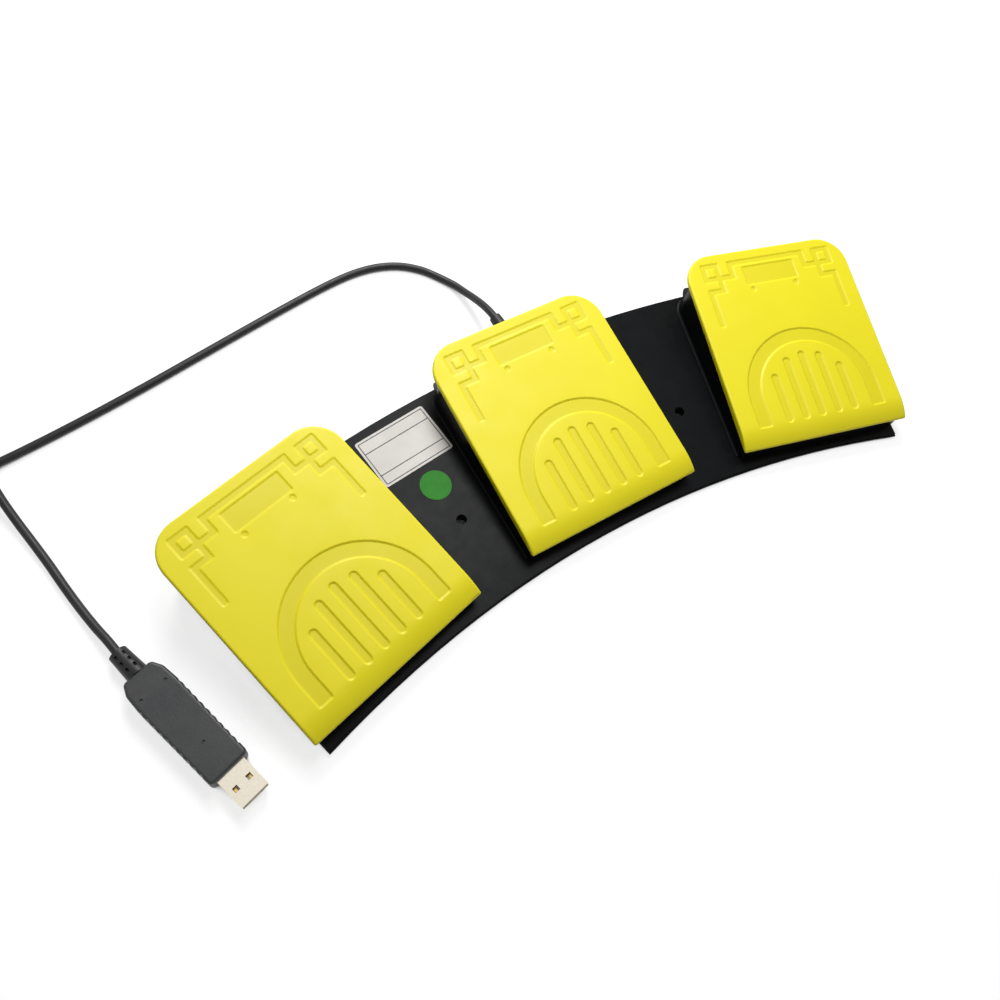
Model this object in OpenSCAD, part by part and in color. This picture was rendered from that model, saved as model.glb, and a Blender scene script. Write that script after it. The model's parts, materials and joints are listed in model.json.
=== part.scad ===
// Foot switch with three hinged pedals on an arc-shaped base, with its cord and plug.
// Millimetres. The user sits towards -Y, +Z is up, and the floor is at z = 0.

/* [Layout] */
// Radius from the centre of the arc to the front lip of a pedal
lip_r = 442; // [430:1:500]
// Gap between neighbouring pedals, at their front corners
valley_w = 26.8; // [26:0.1:34]

/* [Pedal] */
// Width of a pedal
pedal_w = 85.4; // [84.4:0.2:88]
// Length of a pedal along its slope
pedal_len = 97; // [95:0.5:100]
// Slope of a pedal at rest, in degrees
pedal_slope = 10; // [9:0.5:12]
// Height of the pedal's top plane above the floor, at the lip
pedal_top_z = 13.5; // [13:0.1:16]
// Thickness of the pedal at its rear edge
pedal_t = 1.6; // [1.5:0.1:2.2]
// Depth of the front lip below the top plane
lip_drop = 3.6; // [3.4:0.1:4.2]
// Rounding of the pedal's upper edge
pedal_edge_r = 0.9; // [0.7:0.1:1.2]
// Radius of the pedal's rear corners in plan
pedal_corner_r = 14; // [10:0.5:16]
// Distance over which the front edge rolls down
roll_len = 11; // [9:0.5:13]
// Radius of the rolled front edge
roll_r = 25; // [22:1:30]
// How far a pedal turns when it is pressed, in degrees
pedal_travel = 1.8; // [1:0.1:2.2]

/* [Pedal relief] */
// Depth of the relief on the pedals
relief_d = 0.7; // [0.3:0.1:1]
// Width of the fret's channel
fret_w = 2.6; // [1.8:0.1:3]
// Fret: distance from the middle to the outer edge of the corner squares
fret_u = 34.7; // [33:0.1:36]
// Fret: outer size of a corner square
fret_square = 9.4; // [8.5:0.1:10]
// Fret: distance from the pedal's rear edge to the channel
fret_back = 4.8; // [4:0.1:6]
// Fret: how far each hooked arm reaches past its square
fret_arm = 7.2; // [6:0.1:8]
// Fret: length of the straight side channel
fret_side_len = 19.3; // [14:0.1:24]
// Width of the sunk panel near the rear
panel_w = 27.6; // [20:0.1:30]
// Length of the sunk panel
panel_len = 9.8; // [7:0.1:10.4]
// Gap between the fret and the sunk panel
panel_gap = 1.2; // [0.6:0.1:2]
// Spacing of the two dimples
dimple_gap = 23; // [16:0.5:26]
// Radius of a dimple
dimple_r = 1.2; // [0.6:0.1:1.6]
// Outer radius of the arch
arch_r = 33.2; // [28:0.2:36]
// Width of the arch's band
arch_band = 6.4; // [4:0.2:8]
// Distance from the lip to the centre of the arch
arch_centre = 19.8; // [17:0.2:22]
// Distance from the lip to the feet of the arch
arch_foot = 8.8; // [7:0.2:12]
// Width of a tread groove inside the arch
tread_w = 3.4; // [2:0.2:4.4]
// Spacing of the tread grooves
tread_pitch = 8.6; // [7:0.2:9]
// Gap between the arch and the ends of the tread grooves
tread_gap = 5.4; // [4:0.2:8]

/* [Base] */
// Distance from the lip forward to the front edge of the deck, in the middle
front_ledge = 3.4; // [2.6:0.1:4]
// Radius of the deck's front edge, a little flatter than the arc of the pedals
front_arc_r = 465; // [455:5:480]
// Distance from the housings' rear walls to the rear edge of the deck
rear_ledge = 1.5; // [0.9:0.1:2]
// How far a pedal overhangs its housing at each side
side_overhang = 0.6; // [0.5:0.1:1.5]
// How much further in the two ends of the base lie
end_inset = 2; // [1:0.1:2.4]
// Distance from the lip to the front wall of a housing
housing_front = 1.2; // [0.8:0.1:3]
// Distance from the lip to the rear wall of a housing
housing_back = 88.5; // [88.5:0.1:91]
// Radius of a housing's rear corners in plan
housing_corner_r = 10; // [9:0.5:11]
// Radius of a housing's front corners
front_corner_r = 1; // [0.6:0.1:3]
// Gap between a pressed pedal and the rim of its housing
rim_gap = 0.6; // [0.4:0.1:1]
// Thickness of the casing's upright walls
wall = 2; // [1.4:0.1:2.2]
// Height of the deck's front edge above the floor
deck_front_z = 2.6; // [2.4:0.1:3]
// Angle at which the deck rises towards the rear
deck_slope = 4.3; // [4:0.1:4.8]
// Height of the floor inside the housings
deck_z = 5; // [4.6:0.1:5.2]
// Thickness of the deck
deck_t = 1.4; // [1:0.1:1.6]
// Radius of the sweep between the deck and a housing
sweep_r = 1.5; // [1:0.1:2]
// Thickness of the bottom plate
plate_t = 0.8; // [0.6:0.1:0.9]
// How far the bottom plate stands out past the casing
flange = 0.6; // [0.4:0.1:1.4]
// Depth of the parting groove between casing and bottom plate
parting_d = 0.6; // [0.3:0.1:1]
// Height of the parting groove
parting_h = 0.3; // [0.2:0.05:0.4]
// Diameter of the two mounting holes
mount_d = 4.6; // [3:0.1:6]
// Distance from the lip line to the mounting holes
mount_back = 33.4; // [25:0.2:45]
// How far the mounting holes lie from the middle of a valley, towards the middle pedal
mount_in = 1.6; // [0:0.1:3]

/* [Feet and screws] */
// Height of the rubber feet
foot_h = 1; // [0.9:0.1:1.1]
// Diameter of the rubber feet
foot_d = 12; // [8:0.5:16]
// Diameter of a base screw's shank
screw_d = 2.6; // [2:0.1:3]
// Diameter of a base screw's head
screw_head_d = 5.4; // [4.6:0.1:6.4]
// Height of a base screw's head
screw_head_h = 0.8; // [0.6:0.05:0.85]
// Length of a base screw under its head
screw_len = 7; // [5:0.5:8]
// Clearance around a screw
screw_clear = 0.05; // [0.02:0.01:0.2]

/* [Hinge] */
// Distance from the lip to the hinge pin
hinge_back = 82.5; // [80:0.5:82.5]
// Height of the hinge pin above the floor
hinge_z = 19; // [17:0.5:20]
// Diameter of the hinge pin
pin_d = 3; // [2:0.1:4]
// Clearance between the pin and the pedal's lugs
hinge_clear = 0.05; // [0.02:0.01:0.1]
// Clearance between the pin and the casing's bosses
pin_clear = 0.02; // [0.01:0.01:0.05]
// Distance from the middle of a pedal to each lug
lug_u = 29; // [24:0.5:32]
// Width of a lug
lug_w = 4; // [3:0.5:6]
// Wall around the hinge pin in a lug or boss
hinge_wall = 2; // [1.5:0.1:2.4]
// Gap beside a lug
lug_gap = 0.4; // [0.3:0.1:1]

/* [Switch and spring] */
// Distance from the lip to the switch
switch_back = 50; // [46:0.5:54]
// Length, width and height of a switch body
switch_size = [19.8, 6.4, 9.5];
// Diameter of a switch's plunger
plunger_d = 2.8; // [2:0.1:4]
// Clearance around a plunger
plunger_clear = 0.05; // [0.02:0.01:0.1]
// How far a plunger stands out of its switch at rest
plunger_out = 1.7; // [1.6:0.1:3]
// Gap between a plunger and the pedal's striker
striker_gap = 0.3; // [0.25:0.05:0.6]
// Distance from the lip to the return spring
spring_back = 24; // [20:0.5:28]
// Mean diameter of the return spring
spring_d = 9; // [7:0.5:12]
// Diameter of the spring's wire
spring_wire = 1; // [0.6:0.1:1.2]
// Turns of the return spring
spring_turns = 4; // [2:0.5:4.5]
// Free gap at each end of the spring
seat_gap = 0.05; // [0.02:0.01:0.2]

/* [Board] */
// Length, width and thickness of the main board
board_size = [50, 18, 1.6];
// Distance from the lip to the middle of the main board
board_back = 70; // [68:0.5:72]
// Height of the posts under the main board
board_post_h = 2; // [1:0.1:3]
// Spacing of the board's two screws
board_screw_gap = 40; // [34:0.5:42]
// Length, width and height of the controller chip
chip_size = [12, 9, 1.8];
// Diameter of a wire inside the base
wire_d = 0.9; // [0.6:0.1:1]

/* [Stickers] */
// Length and width of the label
label_size = [35.1, 23.8];
// Distance from the lip line to the middle of the label
label_back = 74; // [70:0.2:76]
// How far the label lies to the right of the valley's middle
label_x = 1.6; // [0:0.1:3]
// Diameter of the round sticker
dot_d = 13.6; // [8:0.1:18]
// Distance from the lip line to the middle of the round sticker
dot_back = 51.9; // [44:0.1:53]
// How far the round sticker lies to the right of the valley's middle
dot_x = 1.9; // [0:0.1:3]
// Thickness of the stickers
sticker_t = 0.2; // [0.1:0.05:0.3]

/* [Cord and gland] */
// Diameter of the cord
cord_d = 3.6; // [3.2:0.1:3.6]
// Sideways place of the gland
gland_x = 4.5; // [0:0.5:8]
// Gap between the gland and the deck
gland_gap = 0.2; // [0.1:0.1:1]
// Length of the gland outside the rear wall
gland_len = 19.5; // [16:0.5:19.5]
// Diameter of the gland at its flange
gland_d = 7.8; // [7.4:0.1:8.4]
// Diameter of the gland at its tip
gland_tip_d = 5.4; // [4.4:0.1:6]
// Diameter of the gland's neck in the rear wall
gland_neck_d = 6.4; // [5:0.1:7]

/* [Plug] */
// Length of the plug's body
plug_len = 50; // [46:0.5:56]
// Greatest width of the plug's body
plug_w = 17.7; // [15:0.1:19]
// Width of the plug's body at the cord end
plug_rear_w = 13.8; // [12:0.1:15]
// Thickness of the plug's body
plug_t = 9; // [8:0.1:9]
// Rounding of the plug body's edges
plug_edge_r = 1.2; // [0.6:0.1:1.6]
// Grip notches along each side of the plug
grip_count = 11; // [6:1:12]
// Spacing of the grip notches
grip_pitch = 2.9; // [2.4:0.1:3.2]
// Width and height of the plug's metal shell
shell_size = [12, 4.5];
// Sheet thickness of the metal shell
shell_t = 0.3; // [0.2:0.05:0.4]
// Length of the metal shell outside the body
shell_out = 12.9; // [11:0.1:14]
// Length of the metal shell inside the body
shell_in = 6; // [4:0.5:8]
// Length of the plug's strain relief
relief_len = 12; // [11.5:0.1:12]
// Diameter of the strain relief at the body
relief_d1 = 8.6; // [7.2:0.1:8.6]
// Diameter of the strain relief at the cord
relief_d2 = 7.4; // [5.6:0.1:7.6]

/* [Hidden] */
$fn = 64;

// A small overlap that makes cuts and joins clean
eps = 0.01;

// Angle between neighbouring pedals
pedal_step = 2 * (atan(pedal_w / 2 / lip_r) + asin(valley_w / 2 / norm([pedal_w / 2, lip_r])));

// Pedal: the underside falls from the rear edge to the foot of the lip
lip_back = lip_drop * sin(pedal_slope);
under_front_z = pedal_top_z - lip_drop * cos(pedal_slope);
under_rear_v = pedal_len * cos(pedal_slope) + pedal_t * sin(pedal_slope) - lip_back;
under_rear_z = pedal_top_z + pedal_len * sin(pedal_slope) - pedal_t * cos(pedal_slope);
under_rise = (under_rear_z - under_front_z) / under_rear_v;
function top_z(v) = pedal_top_z + (v + lip_back) * tan(pedal_slope);
function under_z(v) = under_front_z + under_rise * v;

// Housing: its rim lies just under the pressed pedal
housing_u = pedal_w / 2 - side_overhang;
rim_rise = under_rise + tan(pedal_travel);
rim_front_z = under_front_z - hinge_back * tan(pedal_travel) - rim_gap;

// Base plan, about the centre of the arc
deck_front_r = lip_r - front_ledge;
deck_rear_r = lip_r + housing_back + rear_ledge;
function deck_at(v) = deck_front_z + (v + front_ledge) * tan(deck_slope);
front_arc_y = deck_front_r - front_arc_r;
end_u = housing_u - end_inset;
// The end walls of the outer housings stand a little outside the deck
end_step = 0.3;
plate_z = foot_h + plate_t;
parting_z = plate_z + parting_h;
// The walls reach down to the bottom plate as far back as the deck lies below the floor of the housings
apron_back = (deck_z + deck_t / 2 - deck_front_z) / tan(deck_slope) - front_ledge + 1;

// The origin lies below the middle of the object's depth
corner_u = end_u + front_arc_y * sin(pedal_step);
corner_w = front_arc_y * cos(pedal_step) + sqrt(pow(front_arc_r - flange, 2) - pow(corner_u, 2));
front_y = corner_w * cos(pedal_step) - end_u * sin(pedal_step);
arc_y = (front_y + lip_r + under_rear_v) / 2;

// Hinge, switch and spring
pin_r = pin_d / 2;
boss_r = pin_r + hinge_wall;
boss_u = lug_u + lug_w / 2 + lug_gap;
pin_end_u = end_u - wall - 2.5;
plunger_top = deck_z + switch_size[2] + plunger_out;
plunger_low = plunger_top - 5.6;
plunger_travel = (hinge_back - switch_back) * tan(pedal_travel);
spring_top = under_z(spring_back) - 1.6;
spring_low = deck_z;
seat_d = spring_d + 2;

// Screws, feet and posts, in each housing
boss_places = [[-34, 30], [34, 30]];
foot_places = [[-30, 11], [30, 11], [0, 82]];
screw_boss_d = screw_d + 3.4;
screw_boss_z = foot_h + plate_t + screw_len;
board_post_d = 6;
board_screw_d = 1.9;
board_z = deck_z + board_post_h;

// The flat stickers just clear the slightly curved deck
sticker_lift = 0.04;

// Slots in the floor where the wires go down and come up
slot_size = [3.4, 9];
slot_back = switch_back + 10;
entry_u = 22;

// Cord route: points chosen by hand, between the gland and the coil, and the coil and the plug
cord_r = cord_d / 2;
gland_z = deck_at(housing_back + rear_ledge) + gland_d / 2 + gland_gap;
gland_tip = [gland_x, lip_r + housing_back + gland_len - arc_y, gland_z];
coil_centre = [-242, 132, 3.1];
coil_turns = 10.75;
coil_layers = 4;
coil_r_out = 26;
coil_pitch = cord_d + 0.5;
coil_steps = 24;
sweep_turns = coil_turns / coil_layers;
coil_r_in = coil_r_out - coil_pitch * sweep_turns;
coil_start = coil_centre + [cord_d, -coil_r_out, 0];
coil_end = coil_centre + [coil_r_out, -cord_d, coil_pitch * (coil_layers - 1)];
lead_route = [gland_tip, [4.6, 80.5, 12.4], [4.7, 87, 9.9], [4.6, 94, 6.6], [3.9, 100.5, 3.9], [2.4, 107, 2.3],
    [-1.5, 114, 1.9],
    [-7, 121.5, 1.9], [-15, 128, 1.9], [-25, 132, 1.9], [-37, 133.5, 1.9], [-52, 132.5, 1.9],
    [-72, 129.5, 1.9], [-95, 125.5, 1.9], [-120, 121, 1.9], [-145, 116.5, 1.9], [-170, 112.5, 1.9],
    [-192, 109.5, 1.9], [-210, 107.5, 2.1], [-226, 106.4, 2.7], coil_start];
tail_route = [coil_end, [-216, 122, 15], [-216, 115.5, 13.7], [-215.8, 109, 11.7], [-215.4, 102, 9.3],
    [-214.8, 94.5, 6.8], [-213.8, 86, 4.6], [-212.2, 76.5, 2.9], [-210.3, 66.5, 2.1], [-208.4, 56, 1.9],
    [-206.6, 44.5, 1.9], [-204.6, 33.5, 2.1], [-202.4, 23.5, 3], [-200.4, 16, 4.1]];

// Plug: its place on the floor and its heading
plug_place = [-195.5, -2];
plug_heading = -73.2;
plug_axis = [cos(plug_heading), sin(plug_heading), 0];
relief_end = [plug_place[0], plug_place[1], plug_t / 2] - relief_len * plug_axis;
tongue_t = 1.9;
plug_board_size = [24, 10.4, 1.6];
plug_fit = 0.1;
plug_board_at = [plug_len - shell_in - plug_board_size[0], -plug_board_size[1] / 2,
    -tongue_t / 2 - plug_board_size[2] / 2];

// Small helpers
function unit(v) = v / norm(v);
function smooth(x) = x <= 0 ? 0 : x >= 1 ? 1 : x * x * (3 - 2 * x);

// A smooth curve through the points of a route, with a number of steps between points
function curve(p, steps) = [
    for (i = [0:len(p) - 2]) for (k = [0:steps - 1])
        let (t = k / steps, a = p[max(i - 1, 0)], b = p[i], c = p[i + 1], d = p[min(i + 2, len(p) - 1)])
        0.5 * (2 * b + (c - a) * t + (2 * a - 5 * b + 4 * c - d) * t * t + (3 * b - a - 3 * c + d) * t * t * t),
    p[len(p) - 1]];

// One ring of a tube, square to its direction
function ring(p, dir, r, sides) =
    let (side = unit(cross(dir, [0, 0, 1])), up = cross(side, dir))
    [for (k = [0:sides - 1]) let (a = 360 * (k + 0.5) / sides) p + r * (cos(a) * side + sin(a) * up)];

// Least gap of a tube to itself, between points that are at least skip steps apart
function least_gap(p, d, skip) =
    min([for (i = [0:len(p) - 1 - skip]) min([for (j = [i + skip:len(p) - 1]) norm(p[i] - p[j])])]) - d;

// A tube swept along points, with its ends square to the two given directions
module tube(p, d, sides, dir_start, dir_end) {
    n = len(p);
    dirs = [for (i = [0:n - 1]) i == 0 ? dir_start : i == n - 1 ? dir_end : unit(p[i + 1] - p[i - 1])];
    points = [for (i = [0:n - 1]) each ring(p[i], dirs[i], d / 2, sides)];
    walls = [for (i = [0:n - 2]) for (k = [0:sides - 1])
        let (a = i * sides + k, b = i * sides + (k + 1) % sides)
        each [[a, b, b + sides], [a, b + sides, a + sides]]];
    last = (n - 1) * sides;
    caps = [for (k = [1:sides - 2]) each [[0, k + 1, k], [last, last + k, last + k + 1]]];
    polyhedron(points, concat(walls, caps));
}

// The plan of a housing: a rectangle with its own corner radii at the front and at the rear
function housing_side(i, side) = side == i ? end_u : housing_u;
module housing_plan(i, inset) {
    u0 = -housing_side(i, -1) + inset;
    u1 = housing_side(i, 1) - inset;
    v0 = housing_front + inset;
    v1 = housing_back - inset;
    rear_r = max(housing_corner_r - inset, 0.5);
    front_r = max(front_corner_r - inset, 0.5);
    translate([u0, v0 + front_r]) square([u1 - u0, v1 - v0 - front_r - rear_r]);
    translate([u0 + rear_r, v1 - rear_r - eps]) square([u1 - u0 - 2 * rear_r, rear_r + eps]);
    translate([u0 + front_r, v0]) square([u1 - u0 - 2 * front_r, front_r + eps]);
    for (u = [u0 + rear_r, u1 - rear_r]) translate([u, v1 - rear_r]) circle(rear_r);
    for (u = [u0 + front_r, u1 - front_r]) translate([u, v0 + front_r]) circle(front_r);
}

// A rectangle with round corners, about its middle
module round_rect(w, h, r) {
    square([w - 2 * r, h], center = true);
    square([w, h - 2 * r], center = true);
    for (x = [-1, 1]) for (y = [-1, 1]) translate([x * (w / 2 - r), y * (h / 2 - r)]) circle(r);
}

// What rounds a rear corner of the base: the space outside a circle that just crosses the end and the arc
module corner_cut(u, w, r) {
    reach = 1.4 * r;
    radial = unit([u, w]);
    translate([u, w]) difference() {
        polygon(reach * [[0, 0], [1, 0], [1, 0] + radial, radial]);
        circle(1.02 * r);
    }
}

// The arc-shaped plan of the base about the arc's centre; it grows at the front and rear only,
// and its two ends can lie further in
module base_plan(grow, end_in = 0) {
    u = end_u - end_in + min(grow, 0);
    r = housing_corner_r - 1 + min(grow, 0);
    rear_r = deck_rear_r + grow;
    ends = [for (w = [0.8 * deck_front_r, 1.1 * deck_rear_r])
        [u * cos(pedal_step) + w * sin(pedal_step), w * cos(pedal_step) - u * sin(pedal_step)]];
    difference() {
        intersection() {
            circle(rear_r, $fn = 180);
            polygon([ends[0], ends[1], [-ends[1][0], ends[1][1]], [-ends[0][0], ends[0][1]]]);
        }
        translate([0, front_arc_y]) circle(front_arc_r - grow, $fn = 180);
        for (m = [0, 1]) mirror([m, 0]) rotate(-pedal_step)
            corner_cut(u - r, sqrt(pow(rear_r - r, 2) - pow(u - r, 2)), r);
    }
}

// Frames: the centre of the arc, a pedal's housing, a pedal's slope, a valley between pedals, the plug
module at_arc() { translate([0, -arc_y, 0]) children(); }
module at_pedal(i) { at_arc() rotate(-i * pedal_step) translate([0, lip_r, 0]) children(); }
module on_slope() { translate([0, -lip_back, pedal_top_z]) rotate([pedal_slope, 0, 0]) children(); }
module at_valley(i) { at_pedal(i / 2) children(); }
module at_plug() { translate([plug_place[0], plug_place[1], plug_t / 2]) rotate(plug_heading) children(); }

// Round bar across a pedal, between two sideways places
module cross_bar(u0, u1, v, z, r) {
    translate([u0, v, z]) rotate([0, 90, 0]) cylinder(h = u1 - u0, r = r);
}

// What lies under a cone about the arc's centre, a given depth below the top of the sloping deck
module under_deck(depth) {
    r0 = deck_front_r - 10;
    r1 = deck_rear_r + 10;
    rotate_extrude($fn = 360) polygon([[r0, -5], [r1, -5], [r1, deck_at(r1 - lip_r) - depth],
        [r0, deck_at(r0 - lip_r) - depth]]);
}

// Base casing
module deck_shell() {
    difference() {
        intersection() {
            union() {
                translate([0, 0, parting_z]) linear_extrude(4 * deck_z) base_plan(0, end_step);
                translate([0, 0, plate_z]) linear_extrude(parting_h + eps) base_plan(-parting_d, end_step);
            }
            under_deck(0);
        }
        intersection() {
            translate([0, 0, -1]) linear_extrude(4 * deck_z) base_plan(-wall, end_step);
            under_deck(deck_t);
        }
    }
}

module housing_walls(i) {
    difference() {
        union() {
            translate([0, 0, parting_z]) linear_extrude(under_rear_z) difference() {
                housing_plan(i, 0);
                housing_plan(i, wall);
            }
            children();
        }
        translate([i < 0 ? -entry_u : -pedal_w, apron_back, 0])
            cube([i == 0 ? 2 * pedal_w : pedal_w + entry_u, pedal_len, deck_z - deck_t / 2]);
        translate([0, 0, rim_front_z]) rotate([atan(rim_rise), 0, 0])
            translate([-pedal_w, -pedal_w, 0]) cube([2 * pedal_w, 4 * pedal_w, pedal_w]);
    }
}

// The hollow sweep between the deck and a housing, along its side and partly round its rear corner
module sweep_profile() {
    difference() {
        translate([-0.2, -0.2]) square(sweep_r + 0.2);
        translate([sweep_r, sweep_r]) circle(sweep_r);
    }
}

module deck_sweep(side) {
    v0 = housing_front + front_corner_r;
    v1 = housing_back - housing_corner_r;
    far = 2 * housing_corner_r;
    foot_z = deck_at(norm([housing_u, lip_r + v1]) - lip_r) - 0.05;
    translate([side * housing_u, v1, foot_z]) rotate([deck_slope, 0, 0]) {
        rotate([90, 0, 0]) linear_extrude(v1 - v0) mirror([side > 0 ? 0 : 1, 0]) sweep_profile();
        intersection() {
            translate([-side * housing_corner_r, 0, 0]) rotate_extrude()
                translate([housing_corner_r, 0]) sweep_profile();
            translate([-side * housing_corner_r, 0, -1]) linear_extrude(sweep_r + 2)
                polygon(far * [[0, 0], [side, -eps / far], [side * cos(50), sin(50)]]);
        }
    }
}

module housing_fittings(i) {
    for (side = [-1, 1]) {
        boss_len = housing_side(i, side) - wall / 2 - boss_u;
        cross_bar(side > 0 ? boss_u : -boss_u - boss_len, (side > 0 ? boss_u + boss_len : -boss_u),
            hinge_back, hinge_z, boss_r);
        translate([side * (switch_size[0] / 2 + plunger_clear) - (side < 0 ? 1.5 : 0),
            switch_back - switch_size[1] / 2, deck_z - eps]) cube([1.5, switch_size[1], 6]);
    }
    for (p = boss_places) translate([p[0], p[1], plate_z]) cylinder(h = screw_len + 1, d = screw_boss_d);
    translate([0, spring_back, deck_z - eps]) cylinder(h = 2, d = spring_d - spring_wire - 0.6);
}

module base_shell() color([0.07, 0.075, 0.08]) {
    difference() {
        union() {
            difference() {
                at_arc() deck_shell();
                for (i = [-1:1]) at_pedal(i) translate([0, 0, -1])
                    linear_extrude(5 * deck_z) housing_plan(i, wall - 0.4);
            }
            for (i = [-1:1]) at_pedal(i) {
                translate([0, 0, deck_z - deck_t]) linear_extrude(deck_t) housing_plan(i, wall / 2);
                housing_walls(i) for (side = [-1, 1]) if (side != i) deck_sweep(side);
                housing_fittings(i);
            }
            for (side = [-1, 1]) at_valley(side) translate([-side * mount_in, mount_back, plate_z])
                cylinder(h = deck_at(mount_back) - deck_t / 2 - plate_z, d = mount_d + 4);
            at_pedal(0) for (side = [-1, 1]) translate([side * board_screw_gap / 2, board_back, deck_z - eps])
                cylinder(h = board_post_h + eps, d = board_post_d);
        }
        for (side = [-1, 1]) {
            at_valley(side) translate([-side * mount_in, mount_back, 0]) cylinder(h = 3 * deck_z, d = mount_d);
            at_pedal(0) translate([side * board_screw_gap / 2, board_back, deck_z - deck_t - eps])
                cylinder(h = board_z, d = board_screw_d + 2 * screw_clear);
            at_pedal(side) wire_slot(0);
            at_pedal(0) wire_slot(side * entry_u);
        }
        for (i = [-1:1]) at_pedal(i) {
            cross_bar(-pin_end_u, pin_end_u, hinge_back, hinge_z, pin_r + pin_clear);
            for (p = boss_places) translate([p[0], p[1], 0])
                cylinder(h = screw_boss_z + screw_clear, d = screw_d + 2 * screw_clear);
        }
        at_pedal(0) translate([gland_x, housing_back - wall - 1, gland_z]) rotate([-90, 0, 0])
            cylinder(h = wall + 2, d = gland_neck_d + 2 * screw_clear);
    }
}

module wire_slot(u) {
    translate([u - slot_size[0] / 2, slot_back - slot_size[1] / 2, deck_z - deck_t - eps])
        cube([slot_size[0], slot_size[1], deck_t + 2 * eps]);
}

module bottom_plate() color([0.09, 0.095, 0.1]) {
    difference() {
        at_arc() translate([0, 0, foot_h]) linear_extrude(plate_t) base_plan(flange);
        for (i = [-1:1]) at_pedal(i) for (p = boss_places) translate([p[0], p[1], 0])
            cylinder(h = 2 * plate_z, d = screw_d + 0.6);
        for (side = [-1, 1]) at_valley(side) translate([-side * mount_in, mount_back, 0])
            cylinder(h = 2 * plate_z, d = mount_d);
    }
}

module base_screws() color("silver") {
    for (i = [-1:1]) at_pedal(i) for (p = boss_places) translate([p[0], p[1], foot_h]) {
        translate([0, 0, -screw_head_h]) cylinder(h = screw_head_h, d = screw_head_d);
        translate([0, 0, -eps]) cylinder(h = screw_len, d = screw_d);
    }
}

module rubber_feet() color([0.12, 0.12, 0.12]) {
    for (i = [-1:1]) at_pedal(i) for (p = foot_places) translate([p[0], p[1], 0])
        cylinder(h = foot_h, d1 = foot_d - 0.8, d2 = foot_d);
}

// Pedal
module rear_corner() {
    depth = 2 * pedal_t;
    edge = [for (a = [0:18:90]) [pedal_corner_r - pedal_edge_r * (1 - cos(a)), -pedal_edge_r * (1 - sin(a))]];
    rotate_extrude($fn = 48) polygon(concat([[0, -depth], [pedal_corner_r, -depth]], edge, [[0, 0]]));
}

module pedal_cover() {
    ball_r = roll_r - pedal_edge_r;
    roll_angle = asin((roll_len - pedal_edge_r) / ball_r);
    difference() {
        hull() for (side = [-1, 1]) {
            translate([side * (pedal_w / 2 - pedal_corner_r), pedal_len - pedal_corner_r, 0]) rear_corner();
            for (k = [0:5]) let (a = roll_angle * k / 5)
                translate([side * (pedal_w / 2 - pedal_edge_r), roll_len, -roll_r] + ball_r * [0, -sin(a), cos(a)])
                sphere(pedal_edge_r, $fn = 24);
        }
        translate([0, 0, -lip_drop]) rotate([atan((lip_drop - pedal_t) / pedal_len), 0, 0])
            translate([-pedal_w, -pedal_w, -pedal_w]) cube([2 * pedal_w, 4 * pedal_w, pedal_w]);
    }
}

// The relief's plan on the pedal's top, in its own slope
module fret_corner() {
    s1 = pedal_len - fret_back;
    s0 = s1 - fret_square;
    u0 = fret_u - fret_square;
    hook = fret_w + 1.2;
    translate([u0, s0]) difference() {
        square(fret_square);
        translate([fret_w, fret_w]) square(fret_square - 2 * fret_w);
    }
    translate([u0 - fret_arm, s0]) square([fret_arm + fret_w, fret_w]);
    translate([u0 - fret_arm, s0]) square([fret_w, fret_square]);
    translate([u0, s0 - hook - fret_w]) square([fret_w, hook + 2 * fret_w]);
    translate([u0, s0 - hook - fret_w]) square([fret_square, fret_w]);
    translate([fret_u - fret_w, s0 - hook - fret_side_len]) square([fret_w, fret_side_len]);
}

module arch_band() {
    difference() {
        arch_plan(arch_r);
        arch_plan(arch_r - arch_band);
    }
}

module arch_plan(r) {
    translate([-r, arch_foot]) square([2 * r, arch_centre - arch_foot]);
    translate([0, arch_centre]) difference() {
        circle(r, $fn = 96);
        translate([-2 * r, arch_foot - arch_centre - 2 * r]) square([4 * r, 2 * r]);
    }
}

// Straight grooves with round ends that fill the arch
module tread() {
    inner = arch_r - arch_band - tread_gap;
    for (k = [-2:2]) {
        u = k * tread_pitch;
        s0 = arch_foot + tread_w / 2;
        s1 = arch_centre + sqrt(inner * inner - u * u) - tread_w / 2;
        translate([u - tread_w / 2, s0]) square([tread_w, s1 - s0]);
        for (s = [s0, s1]) translate([u, s]) circle(tread_w / 2);
    }
}

module relief_plan() {
    line_s = pedal_len - fret_back - fret_w;
    panel_s = line_s - panel_gap - panel_len;
    arm_u = fret_u - fret_square - fret_arm;
    for (m = [0, 1]) mirror([m, 0]) fret_corner();
    translate([-arm_u - fret_w, line_s]) square([2 * (arm_u + fret_w), fret_w]);
    translate([-panel_w / 2, panel_s]) square([panel_w, panel_len]);
    for (side = [-1, 1]) translate([side * dimple_gap / 2, panel_s - 2 * dimple_r]) circle(dimple_r);
    arch_band();
    tread();
}

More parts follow.
